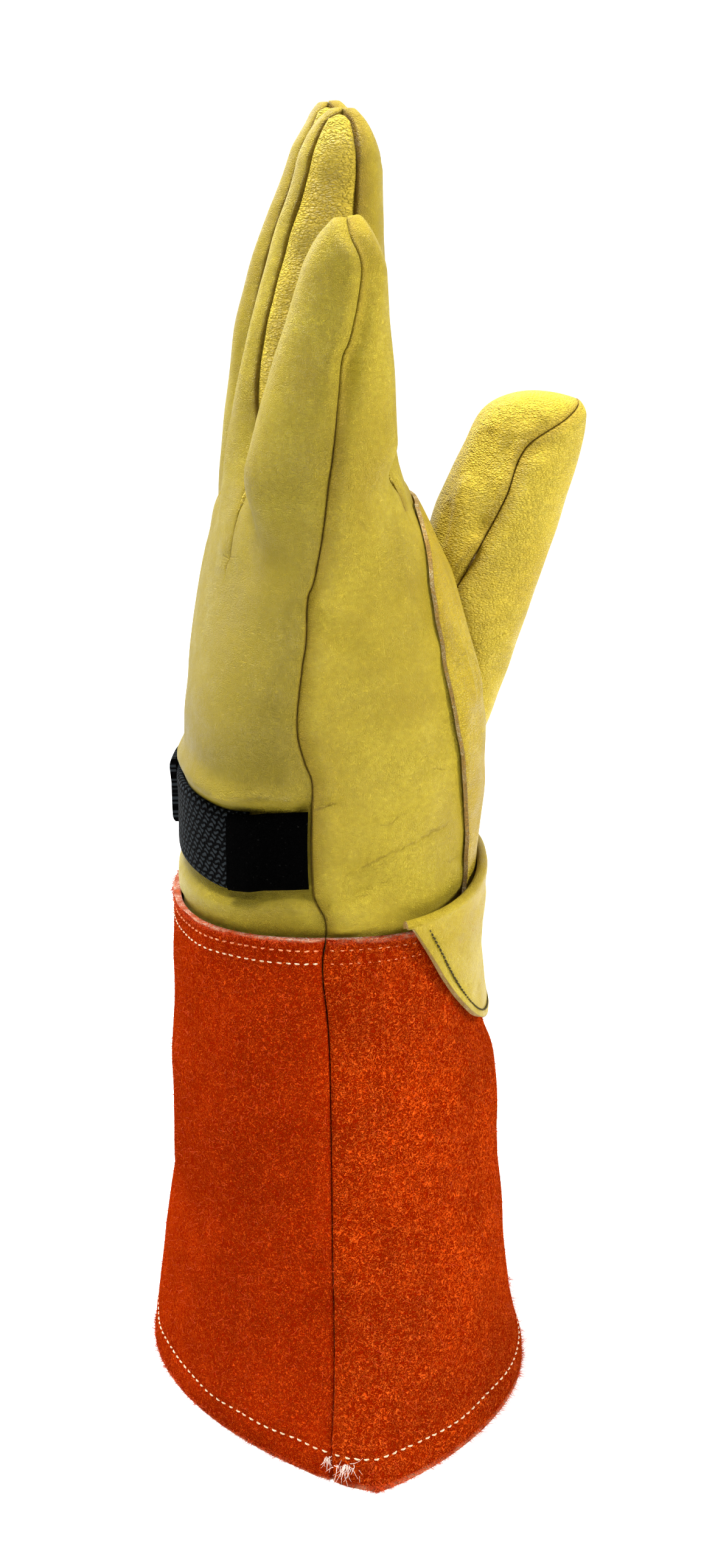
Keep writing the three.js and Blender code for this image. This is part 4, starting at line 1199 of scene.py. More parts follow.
# Shader groups
class Mixer:
    """Lays out the nodes of one material or group."""

    def __init__(self, tree):
        self.nodes = tree.nodes
        self.links = tree.links

    def feed(self, socket, value):
        """Gives a socket a value, or a link from another node's output."""
        if isinstance(value, bpy.types.NodeSocket):
            self.links.new(value, socket)
        else:
            socket.default_value = value

    def add(self, kind, settings=None, **inputs):
        """A node with its settings, and inputs that are values or other nodes' outputs. An input
        goes by its label, or by the letter i and its number."""
        node = self.nodes.new(kind)
        for key, value in (settings or {}).items():
            setattr(node, key, value)
        for key, value in inputs.items():
            numbered = key[0] == "i" and key[1:].isdigit()
            self.feed(node.inputs[int(key[1:]) if numbered else key.replace("_", " ")], value)
        return node

    def maths(self, operation, first, second=0.0, clamp=False):
        """One sum of two values."""
        return self.add("ShaderNodeMath", {"operation": operation, "use_clamp": clamp},
                        i0=first, i1=second).outputs[0]

    def plus(self, first, second):
        """Two values added."""
        return self.maths("ADD", first, second)

    def minus(self, first, second):
        """One value less another."""
        return self.maths("SUBTRACT", first, second)

    def times(self, first, second):
        """Two values multiplied."""
        return self.maths("MULTIPLY", first, second)

    def arrows(self, operation, output=0, **inputs):
        """One sum of vectors, which gives a vector, or a length at its output 1."""
        return self.add("ShaderNodeVectorMath", {"operation": operation}, **inputs).outputs[output]

    def ramp(self, value, low, high, to_low=0.0, to_high=1.0):
        """A value taken smoothly from one range to another, and held at its ends."""
        return self.add("ShaderNodeMapRange", {"interpolation_type": "SMOOTHSTEP"}, Value=value,
                        From_Min=low, From_Max=high, To_Min=to_low, To_Max=to_high).outputs[0]

    def blend(self, share, first, second):
        """Two colours mixed."""
        return self.add("ShaderNodeMix", {"data_type": "RGBA"}, i0=share, i6=first,
                        i7=second).outputs[2]

    def noise(self, vector, scale, detail=3.0, rough=0.55, twist=0.0):
        """Cloudy noise on a vector."""
        return self.add("ShaderNodeTexNoise", Vector=vector, Scale=scale, Detail=detail,
                        Roughness=rough, Distortion=twist).outputs[0]

    def fold(self, cloud, width, on, off):
        """Narrow lines where a cloudy noise is one half, as if it were folded there."""
        away = self.maths("ABSOLUTE", self.minus(cloud, 0.5))
        return self.ramp(away, 0.0, width, on, off)

    def bent(self, vector, scale, amount):
        """A vector that a soft noise of colours pushes about by an amount."""
        cloud = self.add("ShaderNodeTexNoise", Vector=vector, Scale=scale,
                         Detail=2.0).outputs["Color"]
        centred = self.arrows("SUBTRACT", i0=cloud, i1=(0.5, 0.5, 0.5))
        return self.arrows("ADD", i0=vector, i1=self.arrows("SCALE", i0=centred, Scale=amount))


def group(name, outputs, vectors=("Vector",), **values):
    """An empty shader group with its outputs, its inputs for vectors, and its inputs for numbers with
    their first values."""
    tree = bpy.data.node_groups.new(name, "ShaderNodeTree")
    face = tree.interface
    for label in vectors:
        face.new_socket(name=label, in_out="INPUT", socket_type="NodeSocketVector")
    for label, value in values.items():
        socket = face.new_socket(name=label, in_out="INPUT", socket_type="NodeSocketFloat")
        socket.default_value = value
    for label in outputs:
        face.new_socket(name=label, in_out="OUTPUT", socket_type="NodeSocketFloat")
    source = tree.nodes.new("NodeGroupInput")
    sink = tree.nodes.new("NodeGroupOutput")
    return tree, Mixer(tree), source.outputs, sink.inputs


def grain_group():
    """Leather grain: domed cells between fine creases, over a bent vector, with a fine tooth on
    top."""
    tree, m, given, wanted = group("Leather grain", ("Height", "Creases"), Cells=1400.0,
                                   Crease=0.12, Warp=0.0006)
    vector = m.bent(given["Vector"], 420.0, given["Warp"])
    border, centre = (m.add("ShaderNodeTexVoronoi", {"feature": feature}, Vector=vector,
                            Scale=given["Cells"]).outputs["Distance"]
                      for feature in ("DISTANCE_TO_EDGE", "F1"))
    raised = m.ramp(border, 0.0, given["Crease"])
    dome = m.minus(1.0, centre)
    tooth = m.noise(given["Vector"], 5200.0, 2.0)
    height = m.plus(m.times(dome, 0.35), m.times(raised, 0.7))
    m.feed(wanted["Height"], m.plus(height, m.times(tooth, 0.22)))
    m.feed(wanted["Creases"], m.minus(1.0, raised))
    return tree


def soil_group():
    """Cloudy tone, the same over every piece: large soft patches, small blotches and fine specks."""
    tree, m, given, wanted = group("Tone and soil", ("Tone", "Blotches", "Specks"), Patch=26.0,
                                   Blotch=170.0)
    patches = m.noise(given["Vector"], given["Patch"], 4.0, 0.6, 0.4)
    blotches = m.noise(given["Vector"], given["Blotch"], 5.0, 0.62)
    specks = m.noise(given["Vector"], 1500.0, 2.0)
    m.feed(wanted["Tone"], m.ramp(patches, 0.32, 0.68))
    m.feed(wanted["Blotches"], m.ramp(blotches, 0.35, 0.66))
    m.feed(wanted["Specks"], m.ramp(specks, 0.66, 0.74))
    return tree


def nap_group():
    """Suede nap: worm-like tufts, which are the folds of two strongly twisted noises, with finer
    hairs over them. Shade is painted shade, dark between the tufts, and Tips is a painted highlight,
    bright on the highest of them."""
    tree, m, given, wanted = group("Suede nap", ("Height", "Shade", "Tips"), Tufts=620.0,
                                   Twist=1.2)
    worm = m.noise(given["Vector"], given["Tufts"], 2.0, 0.5, given["Twist"])
    moved = m.arrows("ADD", i0=given["Vector"], i1=(0.31, 0.17, 0.23))
    other = m.noise(moved, m.times(given["Tufts"], 1.3), 2.0, 0.5, given["Twist"])
    ridge = m.maths("MAXIMUM", m.fold(worm, 0.07, 1.0, 0.0), m.fold(other, 0.07, 1.0, 0.0))
    hair = m.noise(given["Vector"], m.times(given["Tufts"], 2.6), 3.0, 0.65, 0.8)
    body = m.plus(m.times(ridge, 0.7), m.times(hair, 0.55))
    m.feed(wanted["Height"], body)
    m.feed(wanted["Shade"], m.ramp(body, 0.28, 0.98))
    m.feed(wanted["Tips"], m.ramp(m.plus(m.times(worm, 0.5), body), 1.08, 1.36))
    return tree


def weave_group():
    """Webbing: rows of threads along the band, which waver a little. Every row is a chain of short
    floats that dip under at their ends, set off from the next row's by part of a float."""
    tree, m, given, wanted = group("Webbing weave", ("Height", "Threads"), ("Grid",), Rows=760.0,
                                   Floats=400.0)
    parts = m.add("ShaderNodeSeparateXYZ", Vector=given["Grid"]).outputs
    wobble = m.times(m.noise(given["Grid"], 300.0, 2.0), 0.7)
    along = m.times(parts[0], given["Floats"])
    sag = m.times(m.maths("SINE", m.times(along, 2 * math.pi)), 0.2)
    across = m.plus(m.plus(m.times(parts[1], given["Rows"]), wobble), sag)
    shift = m.times(m.maths("FLOOR", across), 0.31)
    share = m.maths("FRACT", m.plus(along, shift))
    over = m.maths("POWER", m.maths("SINE", m.times(share, math.pi)), 0.5)
    ridge = m.maths("SINE", m.times(m.maths("FRACT", across), math.pi))
    ply = m.maths("SINE", m.plus(m.times(parts[0], 14000.0), m.times(across, 5.0)))
    height = m.times(over, m.maths("POWER", ridge, 0.7))
    m.feed(wanted["Height"], m.plus(height, m.times(ply, 0.05)))
    m.feed(wanted["Threads"], m.ramp(height, 0.25, 0.95))
    return tree


def wrinkle_group():
    """Fine wrinkles: the folds of a cloudy noise, in drifting patches."""
    tree, m, given, wanted = group("Fine wrinkles", ("Height",), Scale=430.0, Patch=45.0)
    cloud = m.noise(given["Vector"], given["Scale"], 2.0, 0.6, 0.7)
    patch = m.ramp(m.noise(given["Vector"], given["Patch"], 2.0), 0.42, 0.62)
    m.feed(wanted["Height"], m.times(m.fold(cloud, 0.1, -1.0, 0.0), patch))
    return tree


def crease_group():
    """One narrow crease: the distance from a line gives a sharp valley between two soft shoulders,
    which fades out at both ends of the line. Shade, dark in the valley, is painted into colours as
    shade."""
    tree, m, given, wanted = group("Crease", ("Height", "Shade"), ("Vector", "Start", "Line"),
                                   Width=0.0005)
    line = given["Line"]
    off = m.arrows("SUBTRACT", i0=given["Vector"], i1=given["Start"])
    along, length = (m.arrows("DOT_PRODUCT", 1, i0=arrow, i1=line) for arrow in (off, line))
    share = m.maths("DIVIDE", along, length, clamp=True)
    near = m.arrows("SCALE", i0=line, Scale=share)
    away = m.arrows("LENGTH", 1, i0=m.arrows("SUBTRACT", i0=off, i1=near))
    fade = m.times(share, m.minus(1.0, share))
    fade = m.maths("POWER", m.times(fade, 4.0), 0.5)
    valley = m.ramp(away, 0.0, given["Width"], 1.0, 0.0)
    shoulder = m.ramp(away, 0.0, m.times(given["Width"], 3.5), 0.5, 0.0)
    m.feed(wanted["Height"], m.times(m.minus(shoulder, valley), fade))
    m.feed(wanted["Shade"], m.times(valley, fade))
    return tree


GRAIN = grain_group()
SOIL = soil_group()
NAP = nap_group()
WEAVE = weave_group()
WRINKLES = wrinkle_group()
CREASE = crease_group()


# Materials


def colour(code):
    """A colour given as it looks on a screen, as the linear numbers a shader takes."""
    raw = [int(code[i:i + 2], 16) / 255 for i in (0, 2, 4)]
    return (*[c / 12.92 if c <= 0.04045 else ((c + 0.055) / 1.055) ** 2.4 for c in raw], 1.0)


def tones(codes):
    """The colours of a finish, from their codes with spaces between them."""
    return [colour(code) for code in codes.split()]


def blank(name, roughness, **fixed):
    """A new material with a Principled shader whose fixed values are set directly."""
    material = bpy.data.materials.new(name)
    material.use_nodes = True
    mixer = Mixer(material.node_tree)
    shader = mixer.nodes["Principled BSDF"]
    shader.inputs["Roughness"].default_value = roughness
    for label, value in fixed.items():
        shader.inputs[label.replace("_", " ")].default_value = value
    return material, mixer, shader


def place(m, tree, **inputs):
    """A shader group placed in a material with its own values."""
    node = m.nodes.new("ShaderNodeGroup")
    node.node_tree = tree
    for label, value in inputs.items():
        m.feed(node.inputs[label], value)
    return node.outputs


def object_vector(m):
    """Object coordinates, on which every finish but the weave lies."""
    return m.add("ShaderNodeTexCoord").outputs["Object"]


def stretched(m, vector, scale):
    """A vector scaled along each axis."""
    return m.add("ShaderNodeMapping", Vector=vector, Scale=scale).outputs[0]


def from_edge(m):
    """The distance from the nearest sewn or cut edge, in millimetres, that every piece carries."""
    return m.add("ShaderNodeAttribute", {"attribute_name": "from_edge"}).outputs["Fac"]


def bump(m, shader, height, distance):
    """A Bump node that feeds the shader's Normal."""
    m.feed(shader.inputs["Normal"],
           m.add("ShaderNodeBump", Height=height, Distance=distance).outputs[0])


def creased_by(m, vector, rows):
    """Height and painted shade of all the creases of a piece, on a vector that is bent a little so
    that no crease is straight. Each row is a line from one point to another, a width and a depth."""
    vector = m.bent(vector, 230.0, 0.0035)
    height, shade = 0.0, 0.0
    for start, end, width, depth in rows:
        line = metres(end) - metres(start)
        one = place(m, CREASE, Vector=vector, Start=tuple(metres(start)), Line=tuple(line),
                    Width=width / 1000)
        height = m.plus(height, m.times(one["Height"], depth))
        shade = m.maths("MAXIMUM", shade, m.times(one["Shade"], min(depth, 1.0)))
    return height, shade


# Tones of painted shade beside the seams, in the seam grooves, in a band of the back and in the
# grain's and the narrow creases, the pale tone of worn lines, and the heights between which the back
# is painted darker as shade, in metres
SEAM_SHADE, SEAM_GROOVE_SHADE, BAND_SHADE_TONE = tones("84691a 6e5314 84731a")
GRAIN_CREASE_SHADE, CREASE_SHADE_TONE, RUBBED = tones("846c1c 6e5612 efe2a6")
SHADE_BAND_FROM = (0.148, 0.165)
SHADE_BAND_UNTIL = (0.2, 0.33)


def leather(name, codes, cells, stretch, relief, crease, rough, creased, waves=1.0, groove_shade=0.7,
            shaded=0.0, band_shade=0.0, creases=(), worn=()):
    """Golden leather: base, pale and deep tones in soft patches, painted shade in the creases between
    the cells of the grain, painted shade beside and in the seams, and a satin shine that is duller
    in the creases. A band from above the strap to the roots of the fingers is painted darker as
    shade, its narrow creases are painted darker as shade, and it is rubbed pale along its worn lines."""
    material, m, shader = blank(name, rough, Specular_IOR_Level=0.18)
    base, pale, deep = tones(codes)
    plain = object_vector(m)
    vector = stretched(m, plain, stretch)
    grain = place(m, GRAIN, Vector=vector, Cells=cells, Crease=crease)
    soil = place(m, SOIL, Vector=plain)
    tone = m.blend(soil["Tone"], deep, pale)
    tone = m.blend(m.times(soil["Blotches"], 0.5), tone, base)
    flecks = m.ramp(m.noise(vector, 650.0, 4.0, 0.7), 0.3, 0.7, 0.0, 0.55)
    tone = m.blend(flecks, tone, deep)
    edge = from_edge(m)
    # Painted shade: darker within a few millimetres of the sewn edges
    tone = m.blend(m.ramp(edge, 0.3, 4.5, shaded, 0.0), tone, SEAM_SHADE)
    # Painted shade: a band of the back, from above the strap to the roots of the fingers, is darker
    if band_shade:
        level = m.add("ShaderNodeSeparateXYZ", Vector=plain).outputs[2]
        painted_band_shade = m.times(m.ramp(level, *SHADE_BAND_FROM, 0.0, band_shade),
                          m.ramp(level, *SHADE_BAND_UNTIL, 1.0, 0.0))
        tone = m.blend(painted_band_shade, tone, BAND_SHADE_TONE)
    # Painted shade in the seam groove: darker within half a millimetre of the sewn edges
    tone = m.blend(m.ramp(edge, 0.05, 0.5, groove_shade, 0.0), tone, SEAM_GROOVE_SHADE)
    # Painted shade in the creases between the grain's cells
    tone = m.blend(m.times(grain["Creases"], creased), tone, GRAIN_CREASE_SHADE)
    height = m.plus(grain["Height"], m.times(m.noise(vector, 300.0, 3.0, 0.55, 0.4), 2.2 * waves))
    height = m.plus(height, m.times(place(m, WRINKLES, Vector=vector)["Height"], 0.8))
    if creases:
        sharp, shade = creased_by(m, plain, creases)
        # Painted shade along the narrow creases
        tone = m.blend(m.times(shade, 0.45), tone, CREASE_SHADE_TONE)
        height = m.plus(height, m.times(sharp, 0.0006 / relief))
    if worn:
        _, rubbed = creased_by(m, plain, worn)
        tone = m.blend(m.times(rubbed, 0.7), tone, RUBBED)
    m.feed(shader.inputs["Base Color"], tone)
    dull = m.ramp(m.plus(grain["Creases"], soil["Blotches"]), 0.0, 2.0, rough - 0.05, rough + 0.16)
    m.feed(shader.inputs["Roughness"], dull)
    bump(m, shader, height, relief)
    return material


def flesh(name, codes):
    """The raw inner side and cut edge of leather: matt, fibrous and mottled with two tones."""
    material, m, shader = blank(name, 0.92, Specular_IOR_Level=0.2)
    plain = object_vector(m)
    nap = place(m, NAP, Vector=plain, Tufts=900.0, Twist=1.0)
    mottled = m.times(nap["Shade"], place(m, SOIL, Vector=plain)["Blotches"])
    m.feed(shader.inputs["Base Color"], m.blend(mottled, *tones(codes)))
    bump(m, shader, nap["Height"], 0.0009)
    return material


def suede(name, codes, tufts, relief, rubbed):
    """Brushed orange suede: deep and middle tones set by painted shade between its tufts and by
    blotches, deep tones in drifting patches, pale tips that are a painted highlight, and rubbed pale
    along its raw edges for a width in millimetres."""
    material, m, shader = blank(name, 0.95, Specular_IOR_Level=0.0)
    deep, middle, pale, worn = tones(codes + " f0b78e")
    plain = object_vector(m)
    nap = place(m, NAP, Vector=plain, Tufts=tufts)
    soil = place(m, SOIL, Vector=plain, Patch=34.0, Blotch=130.0)
    # Painted shade between the tufts, with random blotches, mixes the deep and middle tones
    shade = m.plus(m.times(nap["Shade"], 0.8), m.times(soil["Blotches"], 0.25))
    tone = m.blend(m.ramp(shade, 0.1, 0.95), deep, middle)
    tone = m.blend(m.times(soil["Tone"], 0.6), tone, deep)
    # Painted highlight: pale on the highest tufts
    tone = m.blend(m.times(nap["Tips"], 0.65), tone, pale)
    edge = m.times(m.ramp(from_edge(m), 0.1, rubbed, 0.85, 0.0), soil["Blotches"])
    m.feed(shader.inputs["Base Color"], m.blend(edge, tone, worn))
    bump(m, shader, nap["Height"], relief)
    return material


def webbing(name, codes):
    """Webbing: dark between its threads, as painted shade."""
    material, m, shader = blank(name, 0.85, Specular_IOR_Level=0.03)
    woven = place(m, WEAVE, Grid=m.add("ShaderNodeUVMap", {"uv_map": "weave"}).outputs[0])
    threads = m.ramp(woven["Threads"], 0.35, 1.0)
    m.feed(shader.inputs["Base Color"], m.blend(threads, *tones(codes)))
    bump(m, shader, woven["Height"], 0.0011)
    return material


def pile(name, codes):
    """Looped pile with a few pale specks of lint."""
    material, m, shader = blank(name, 0.95, Specular_IOR_Level=0.01)
    deep, pale, lint = tones(codes)
    plain = object_vector(m)
    nap = place(m, NAP, Vector=plain, Tufts=1300.0)
    specks = m.times(place(m, SOIL, Vector=plain)["Specks"], 0.25)
    tone = m.blend(nap["Shade"], deep, pale)
    m.feed(shader.inputs["Base Color"], m.blend(specks, tone, lint))
    bump(m, shader, nap["Height"], 0.0007)
    return material


def thread(name, codes):
    """Sewing thread: a pale and a deep tone in fine upright streaks."""
    material, m, shader = blank(name, 0.8, Specular_IOR_Level=0.25)
    pale, deep = tones(codes)
    streaks = m.noise(stretched(m, object_vector(m), (1.0, 1.0, 0.5)), 3400.0, 2.0)
    m.feed(shader.inputs["Base Color"], m.blend(m.ramp(streaks, 0.35, 0.65), deep, pale))
    bump(m, shader, streaks, 0.0002)
    return material


# Narrow creases of the palm, the back and the thumb, and worn lines of the patch, each as a line
# with a width and a depth
PALM_CREASES = [
    ((-4.4, -51.8, 183.6), (2.5, -51.3, 185.6), 0.6, 1.0),
    ((3.1, -51.0, 165.4), (17.0, -47.4, 172.4), 0.7, 1.0),
    ((16.0, -48.0, 171.6), (31.3, -35.4, 175.2), 0.8, 0.9),
    ((4.8, -50.9, 162.2), (17.0, -47.6, 163.9), 0.5, 0.7),
    ((16.5, -47.8, 163.8), (33.7, -30.0, 164.2), 0.6, 0.7),
    ((10.0, -50.2, 160.3), (22.3, -45.0, 159.6), 0.45, 0.6),
    ((21.5, -45.4, 159.6), (34.7, -28.6, 159.1), 0.45, 0.6),
    ((9.0, -50.3, 168.0), (25.0, -42.8, 169.5), 0.4, 0.5),
    ((6.0, -50.8, 176.5), (21.0, -45.8, 181.5), 0.5, 0.6),
    ((-3.8, -51.6, 156.6), (0.4, -51.4, 150.6), 0.6, 1.1),
    ((-2.6, -52.0, 157.6), (9.5, -51.0, 161.0), 0.5, 0.9),
    ((20.0, -46.4, 194.9), (33.2, -36.0, 194.1), 0.45, 0.6),
    ((21.0, -46.0, 191.3), (33.8, -35.4, 190.2), 0.45, 0.6),
    ((14.0, -48.6, 187.3), (27.0, -42.3, 186.4), 0.4, 0.5),
    ((-3.5, -52.0, 236.5), (8.5, -50.6, 230.0), 0.8, 0.5),
    ((5.0, -51.2, 258.0), (12.0, -48.8, 248.0), 0.7, 0.5),
]
BACK_CREASES = [
    ((-30.5, -23.0, 243.5), (-24.4, -32.5, 244.2), 0.5, 0.7),
    ((-6.0, -52.0, 155.0), (-16.0, -50.0, 158.2), 0.5, 0.8),
    ((-8.0, -51.8, 158.0), (-22.0, -47.0, 158.6), 0.5, 0.5),
    ((-6.0, -51.8, 187.0), (-17.0, -49.0, 184.6), 0.5, 0.6),
]
THUMB_CREASES = [
    ((41.9, 19.2, 241.0), (33.5, 17.8, 229.4), 0.8, 1.1),
    ((46.0, 20.6, 252.5), (41.0, 19.2, 240.5), 0.7, 0.7),
    ((37.6, 26.0, 262.0), (36.0, 22.0, 248.0), 0.8, 0.6),
    ((53.5, 22.4, 266.0), (63.0, 24.6, 269.0), 0.6, 0.7),
    ((52.5, 22.0, 263.0), (60.0, 23.5, 263.6), 0.4, 0.5),
    ((43.0, 17.8, 213.0), (51.0, 22.0, 217.0), 0.5, 0.7),
    ((44.0, 18.0, 208.5), (50.0, 21.5, 211.5), 0.4, 0.5),
    ((46.5, 19.0, 226.0), (55.0, 23.4, 229.0), 0.4, 0.4),
]
PATCH_WORN = [
    ((34.0, 20.0, 232.5), (35.6, 18.4, 228.0), 0.6, 1.0),
    ((35.1, 18.6, 230.0), (38.9, 16.8, 216.0), 0.5, 1.0),
    ((38.6, 17.0, 217.5), (41.0, 14.0, 202.0), 0.45, 0.8),
]

# The finishes
SMOOTH = {"cells": 2400.0, "stretch": (1.0, 1.0, 1.3), "relief": 0.0003, "crease": 0.25,
          "rough": 0.46, "waves": 0.8}
GRAINED = {"stretch": (1.0, 1.0, 1.9), "crease": 0.32, "rough": 0.48, "creased": 0.14}
BACK_LEATHER = leather("golden leather of the back", "aa9824 bca92e 98831c", **SMOOTH,
                       creased=0.04, groove_shade=0.5, shaded=0.1, band_shade=0.7, creases=BACK_CREASES)
PALM_LEATHER = leather("golden leather of the palm", "b09b24 c2ad30 9e871b", **SMOOTH,
                       creased=0.04, shaded=0.45, creases=PALM_CREASES)
SMOOTH_LEATHER = leather("golden leather", "b8a024 c2ab2e a68c1c", **SMOOTH, creased=0.03)
GRAINED_LEATHER = leather("grained golden leather", "ccb336 d6c04a b89e2c", **GRAINED,
                          cells=800.0, relief=0.0007, groove_shade=0.3)
THUMB_LEATHER = leather("grained golden leather of the thumb", "baa32a c8b338 a78f22", **GRAINED,
                        cells=950.0, relief=0.0004, shaded=0.45, creases=THUMB_CREASES)
PATCH_SKIN = leather("grained golden leather of the patch", "a68e12 b29b1a 957b0c", **GRAINED,
                     cells=950.0, relief=0.0004, creases=PATCH_CREASES, worn=PATCH_WORN)
FLESH = flesh("raw leather", "b8914a ecd8a2")
SUEDE_SKIN = suede("orange suede", "861700 c03204 ee6c1e", 950.0, 0.0006, 0.7)
SUEDE_COARSE = suede("coarse orange suede", "821700 dc4204 fc7c2c", 680.0, 0.0011, 1.6)
RAW_SUEDE = flesh("raw suede", "c2562a edd2bd")
WEBBING_SKIN = webbing("charcoal webbing", "000000 2a2f32")
PILE_SKIN = pile("black pile", "000000 030303 3a3836")
CREAM = thread("cream thread", "e6ccae bd9670")
PEACH = thread("peach thread", "e79a6a b4491c")
WHITE = thread("white thread", "ecdcd2 cfae9c")
FUZZ = thread("orange fuzz", "d64e06 a02a00")
OLIVE = thread("dark thread", "4b4016 2c260c")

# Pieces
hand_panel(BACK, "back_panel", BACK_FOLDS, [BACK_LEATHER, FLESH, BACK_LEATHER])
hand_panel(PALM, "palm_panel", PALM_FOLDS, [PALM_LEATHER, FLESH, PALM_LEATHER])
for strip_index, strip_name in enumerate(("little_ring", "ring_middle", "middle_index")):
    fourchette(strip_index, "fourchette_" + strip_name, [GRAINED_LEATHER, FLESH, GRAINED_LEATHER])
thumb_half(1, "thumb_front", [THUMB_LEATHER, FLESH, THUMB_LEATHER])
thumb_half(-1, "thumb_back", [THUMB_LEATHER, FLESH, THUMB_LEATHER])
palm_patch([PATCH_SKIN, FLESH, FLESH])
wrist_tab([SMOOTH_LEATHER, FLESH, FLESH])
cuff_panel(BACK, "cuff_back", [SUEDE_SKIN, RAW_SUEDE, RAW_SUEDE])
cuff_panel(PALM, "cuff_palm", [SUEDE_COARSE, RAW_SUEDE, RAW_SUEDE])
wrist_strap([WEBBING_SKIN] * 3)
strap_tail([WEBBING_SKIN] * 3)
strap_patch([PILE_SKIN] * 3)

# Stitches: one row round the hem, two round the top of the cuff, and one along the tab's edge. On the
# palm the top rows show only beside the tab, where they sink deeper into the suede.
TOP_ROWS = {BACK: ((0.002, 0.998), 0.24, 0.14, (PEACH, CREAM)),
            PALM: ((0.002, 0.19), 0.17, 0.04, (PEACH, PEACH))}
for row_side, row_name in ((BACK, "back"), (PALM, "palm")):
    hem = stitches(*cuff_line(row_side, HEM_HEIGHT, 0.003, 0.997), 2.75, 1.8, 101 + row_side,
                   thick=0.25, height=0.16, sink=0.4)
    strands("hem_stitches_" + row_name, *hem, CREAM)
    row_span, row_thick, row_height, row_threads = TOP_ROWS[row_side]
    for row_index, row_z in enumerate(TOP_LINES):
        row = stitches(*cuff_line(row_side, row_z, *row_span), 2.3, 1.55,
                       111 + row_side + row_index, thick=row_thick, height=row_height, sink=0.35)
        strands(f"top_stitches_{row_name}_{row_index + 1}", *row, row_threads[row_index])
# These dark stitches are partly the thread's own colour and partly painted shade of the stitch holes
# in the groove
tab_row = stitches(*tab_stitch_line(), 1.45, 1.0, 121, thick=0.27, height=0.02, sink=0.4,
                   jitter=0.04)
strands("tab_stitches", *tab_row, OLIVE)

# Fuzz on the suede at the rim, at the top edge and all over, and the fluffy ends of the hem's thread
for fuzz_side, fuzz_name in ((BACK, "back"), (PALM, "palm")):
    near_rim = scattered(fuzz_side, 1300, 0.1, 1.6, 131 + fuzz_side)
    near_top = scattered(fuzz_side, 900, CUFF_TOP - 0.8, CUFF_TOP - 0.1, 141 + fuzz_side)
    all_over = scattered(fuzz_side, 3600, 2.0, CUFF_TOP - 2, 151 + fuzz_side)
    fuzz_root, fuzz_out = (np.concatenate(parts) for parts in zip(near_rim, near_top, all_over))
    fuzz = fibres(fuzz_root, fuzz_out, 1.3, 0.8, 161 + fuzz_side, thick=0.08, count=4)
    strands("cuff_fuzz_" + fuzz_name, *grounded(*fuzz), FUZZ, sides=3)
tuft_dice = np.random.default_rng(171)
for tuft_name, tuft_at, tuft_spread, tuft_count, tuft_length in (
        ("tuft_left", (-1.8, -67.4, 6.2), (0.4, 0.2, 0.4), 22, 2.8),
        ("tuft_right", (3.4, -69.9, 6.0), (1.3, 0.2, 0.4), 50, 3.8)):
    tuft_root = np.array(tuft_at) + tuft_dice.normal(size=(tuft_count, 3)) * tuft_spread
    tuft_way = np.broadcast_to(np.array([0.12, -0.35, -0.9]), tuft_root.shape)
    tuft = fibres(tuft_root, tuft_way, tuft_length, 0.5, 173, thick=0.09, count=6)
    strands(tuft_name, *grounded(*tuft), WHITE, sides=4)

# Camera, whose focal length is given in the pixels of a picture of the given height
PICTURE_HEIGHT = 2576
FOCAL_PIXELS = 2912
SENSOR = 36
CAMERA_PLACE = (-0.00105, -0.481, 0.305)
CAMERA_TILT = math.radians(75)
camera_data = bpy.data.cameras.new("camera")
camera_data.lens = FOCAL_PIXELS / PICTURE_HEIGHT * SENSOR
camera_data.sensor_width = SENSOR
camera = bpy.data.objects.new("camera", camera_data)
camera.location = CAMERA_PLACE
camera.rotation_euler = (CAMERA_TILT, 0, 0)
bpy.context.scene.collection.objects.link(camera)
bpy.context.scene.camera = camera


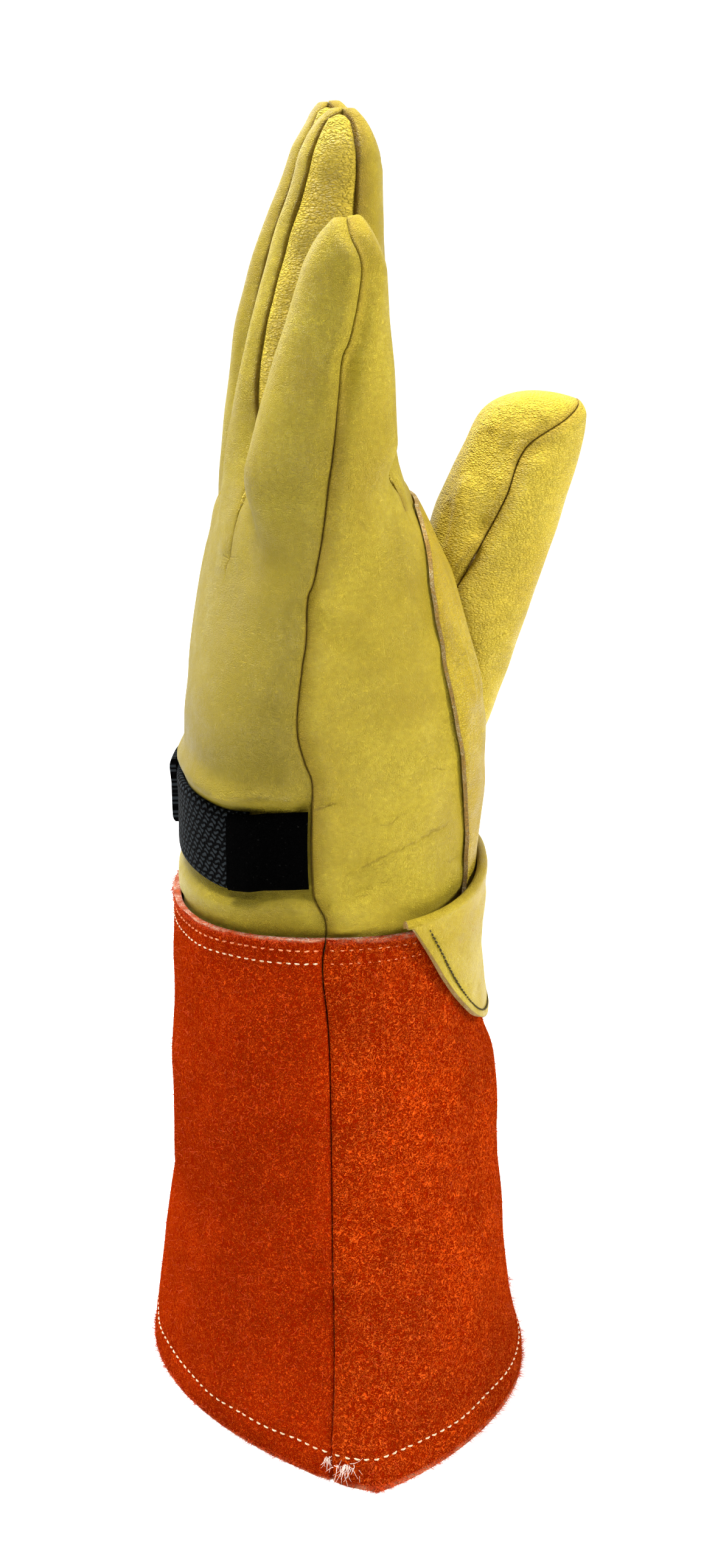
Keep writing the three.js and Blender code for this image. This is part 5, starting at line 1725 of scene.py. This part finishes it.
# Floor and light
def studio_floor():
    """A pale floor that curves up far behind the glove: a profile of straight, quarter circle and
    straight, carried sideways."""
    front, flat, bend, top, half = -3.0, 2.0, 1.2, 4.0, 6.0
    angle = np.linspace(0, math.pi / 2, 24)
    y = np.concatenate([[front], flat + bend * np.sin(angle), [flat + bend]])
    z = np.concatenate([[0.0], bend * (1 - np.cos(angle)), [top]])
    points = np.stack([np.broadcast_to([-half, half], (len(y), 2)), np.repeat(y[:, None], 2, 1),
                       np.repeat(z[:, None], 2, 1)], -1).reshape(-1, 3)
    number = np.arange(len(points)).reshape(-1, 2)
    quads = np.stack([number[:-1, 0], number[:-1, 1], number[1:, 1], number[1:, 0]], -1)
    mesh = bpy.data.meshes.new("studio floor")
    mesh.from_pydata(points.tolist(), [], quads.tolist())
    mesh.polygons.foreach_set("use_smooth", np.ones(len(quads), bool))
    material, m, shader = blank("pale floor", 0.9, Specular_IOR_Level=0.1)
    m.feed(shader.inputs["Base Color"],
           m.blend(m.noise(object_vector(m), 3.0), *tones("f1f1f0 f5f5f4")))
    mesh.materials.append(material)
    floor = bpy.data.objects.new("studio_floor", mesh)
    bpy.context.scene.collection.objects.link(floor)


def lamp(name, place_at, look_at, size, watts):
    """A soft square lamp that faces a point."""
    data = bpy.data.lights.new(name, "AREA")
    data.shape = "SQUARE"
    data.size = size
    data.energy = watts
    thing = bpy.data.objects.new(name, data)
    thing.location = place_at
    way = np.array(look_at) - np.array(place_at)
    thing.rotation_euler = (math.acos(-way[2] / np.linalg.norm(way)), 0,
                            math.atan2(way[1], way[0]) - math.pi / 2)
    bpy.context.scene.collection.objects.link(thing)


studio_floor()
MIDDLE = (0.0, 0.0, 0.2)
lamp("lamp_key", (1.35, -0.3, 0.95), (0.0, 0.0, 0.22), 0.35, 31)
lamp("lamp_top", (-0.25, 0.0, 1.4), (0.0, 0.0, 0.3), 0.45, 44)
lamp("lamp_high", (-0.1, -1.0, 1.35), (0.0, 0.0, 0.25), 0.35, 8)
lamp("lamp_left", (-1.3, -0.1, 0.8), MIDDLE, 0.6, 2.5)
lamp("lamp_rear", (-0.8, 1.3, 1.0), MIDDLE, 0.8, 12)
lamp("lamp_backdrop", (0.0, 1.2, 2.6), (0.0, 3.2, 1.4), 2.0, 75)
world = bpy.data.worlds.new("studio")
world.use_nodes = True
background = world.node_tree.nodes["Background"]
background.inputs["Color"].default_value = (1.0, 1.0, 1.0, 1.0)
background.inputs["Strength"].default_value = 0.16
bpy.context.scene.world = world
bpy.context.scene.view_settings.view_transform = "Standard"

bpy.context.view_layer.update()
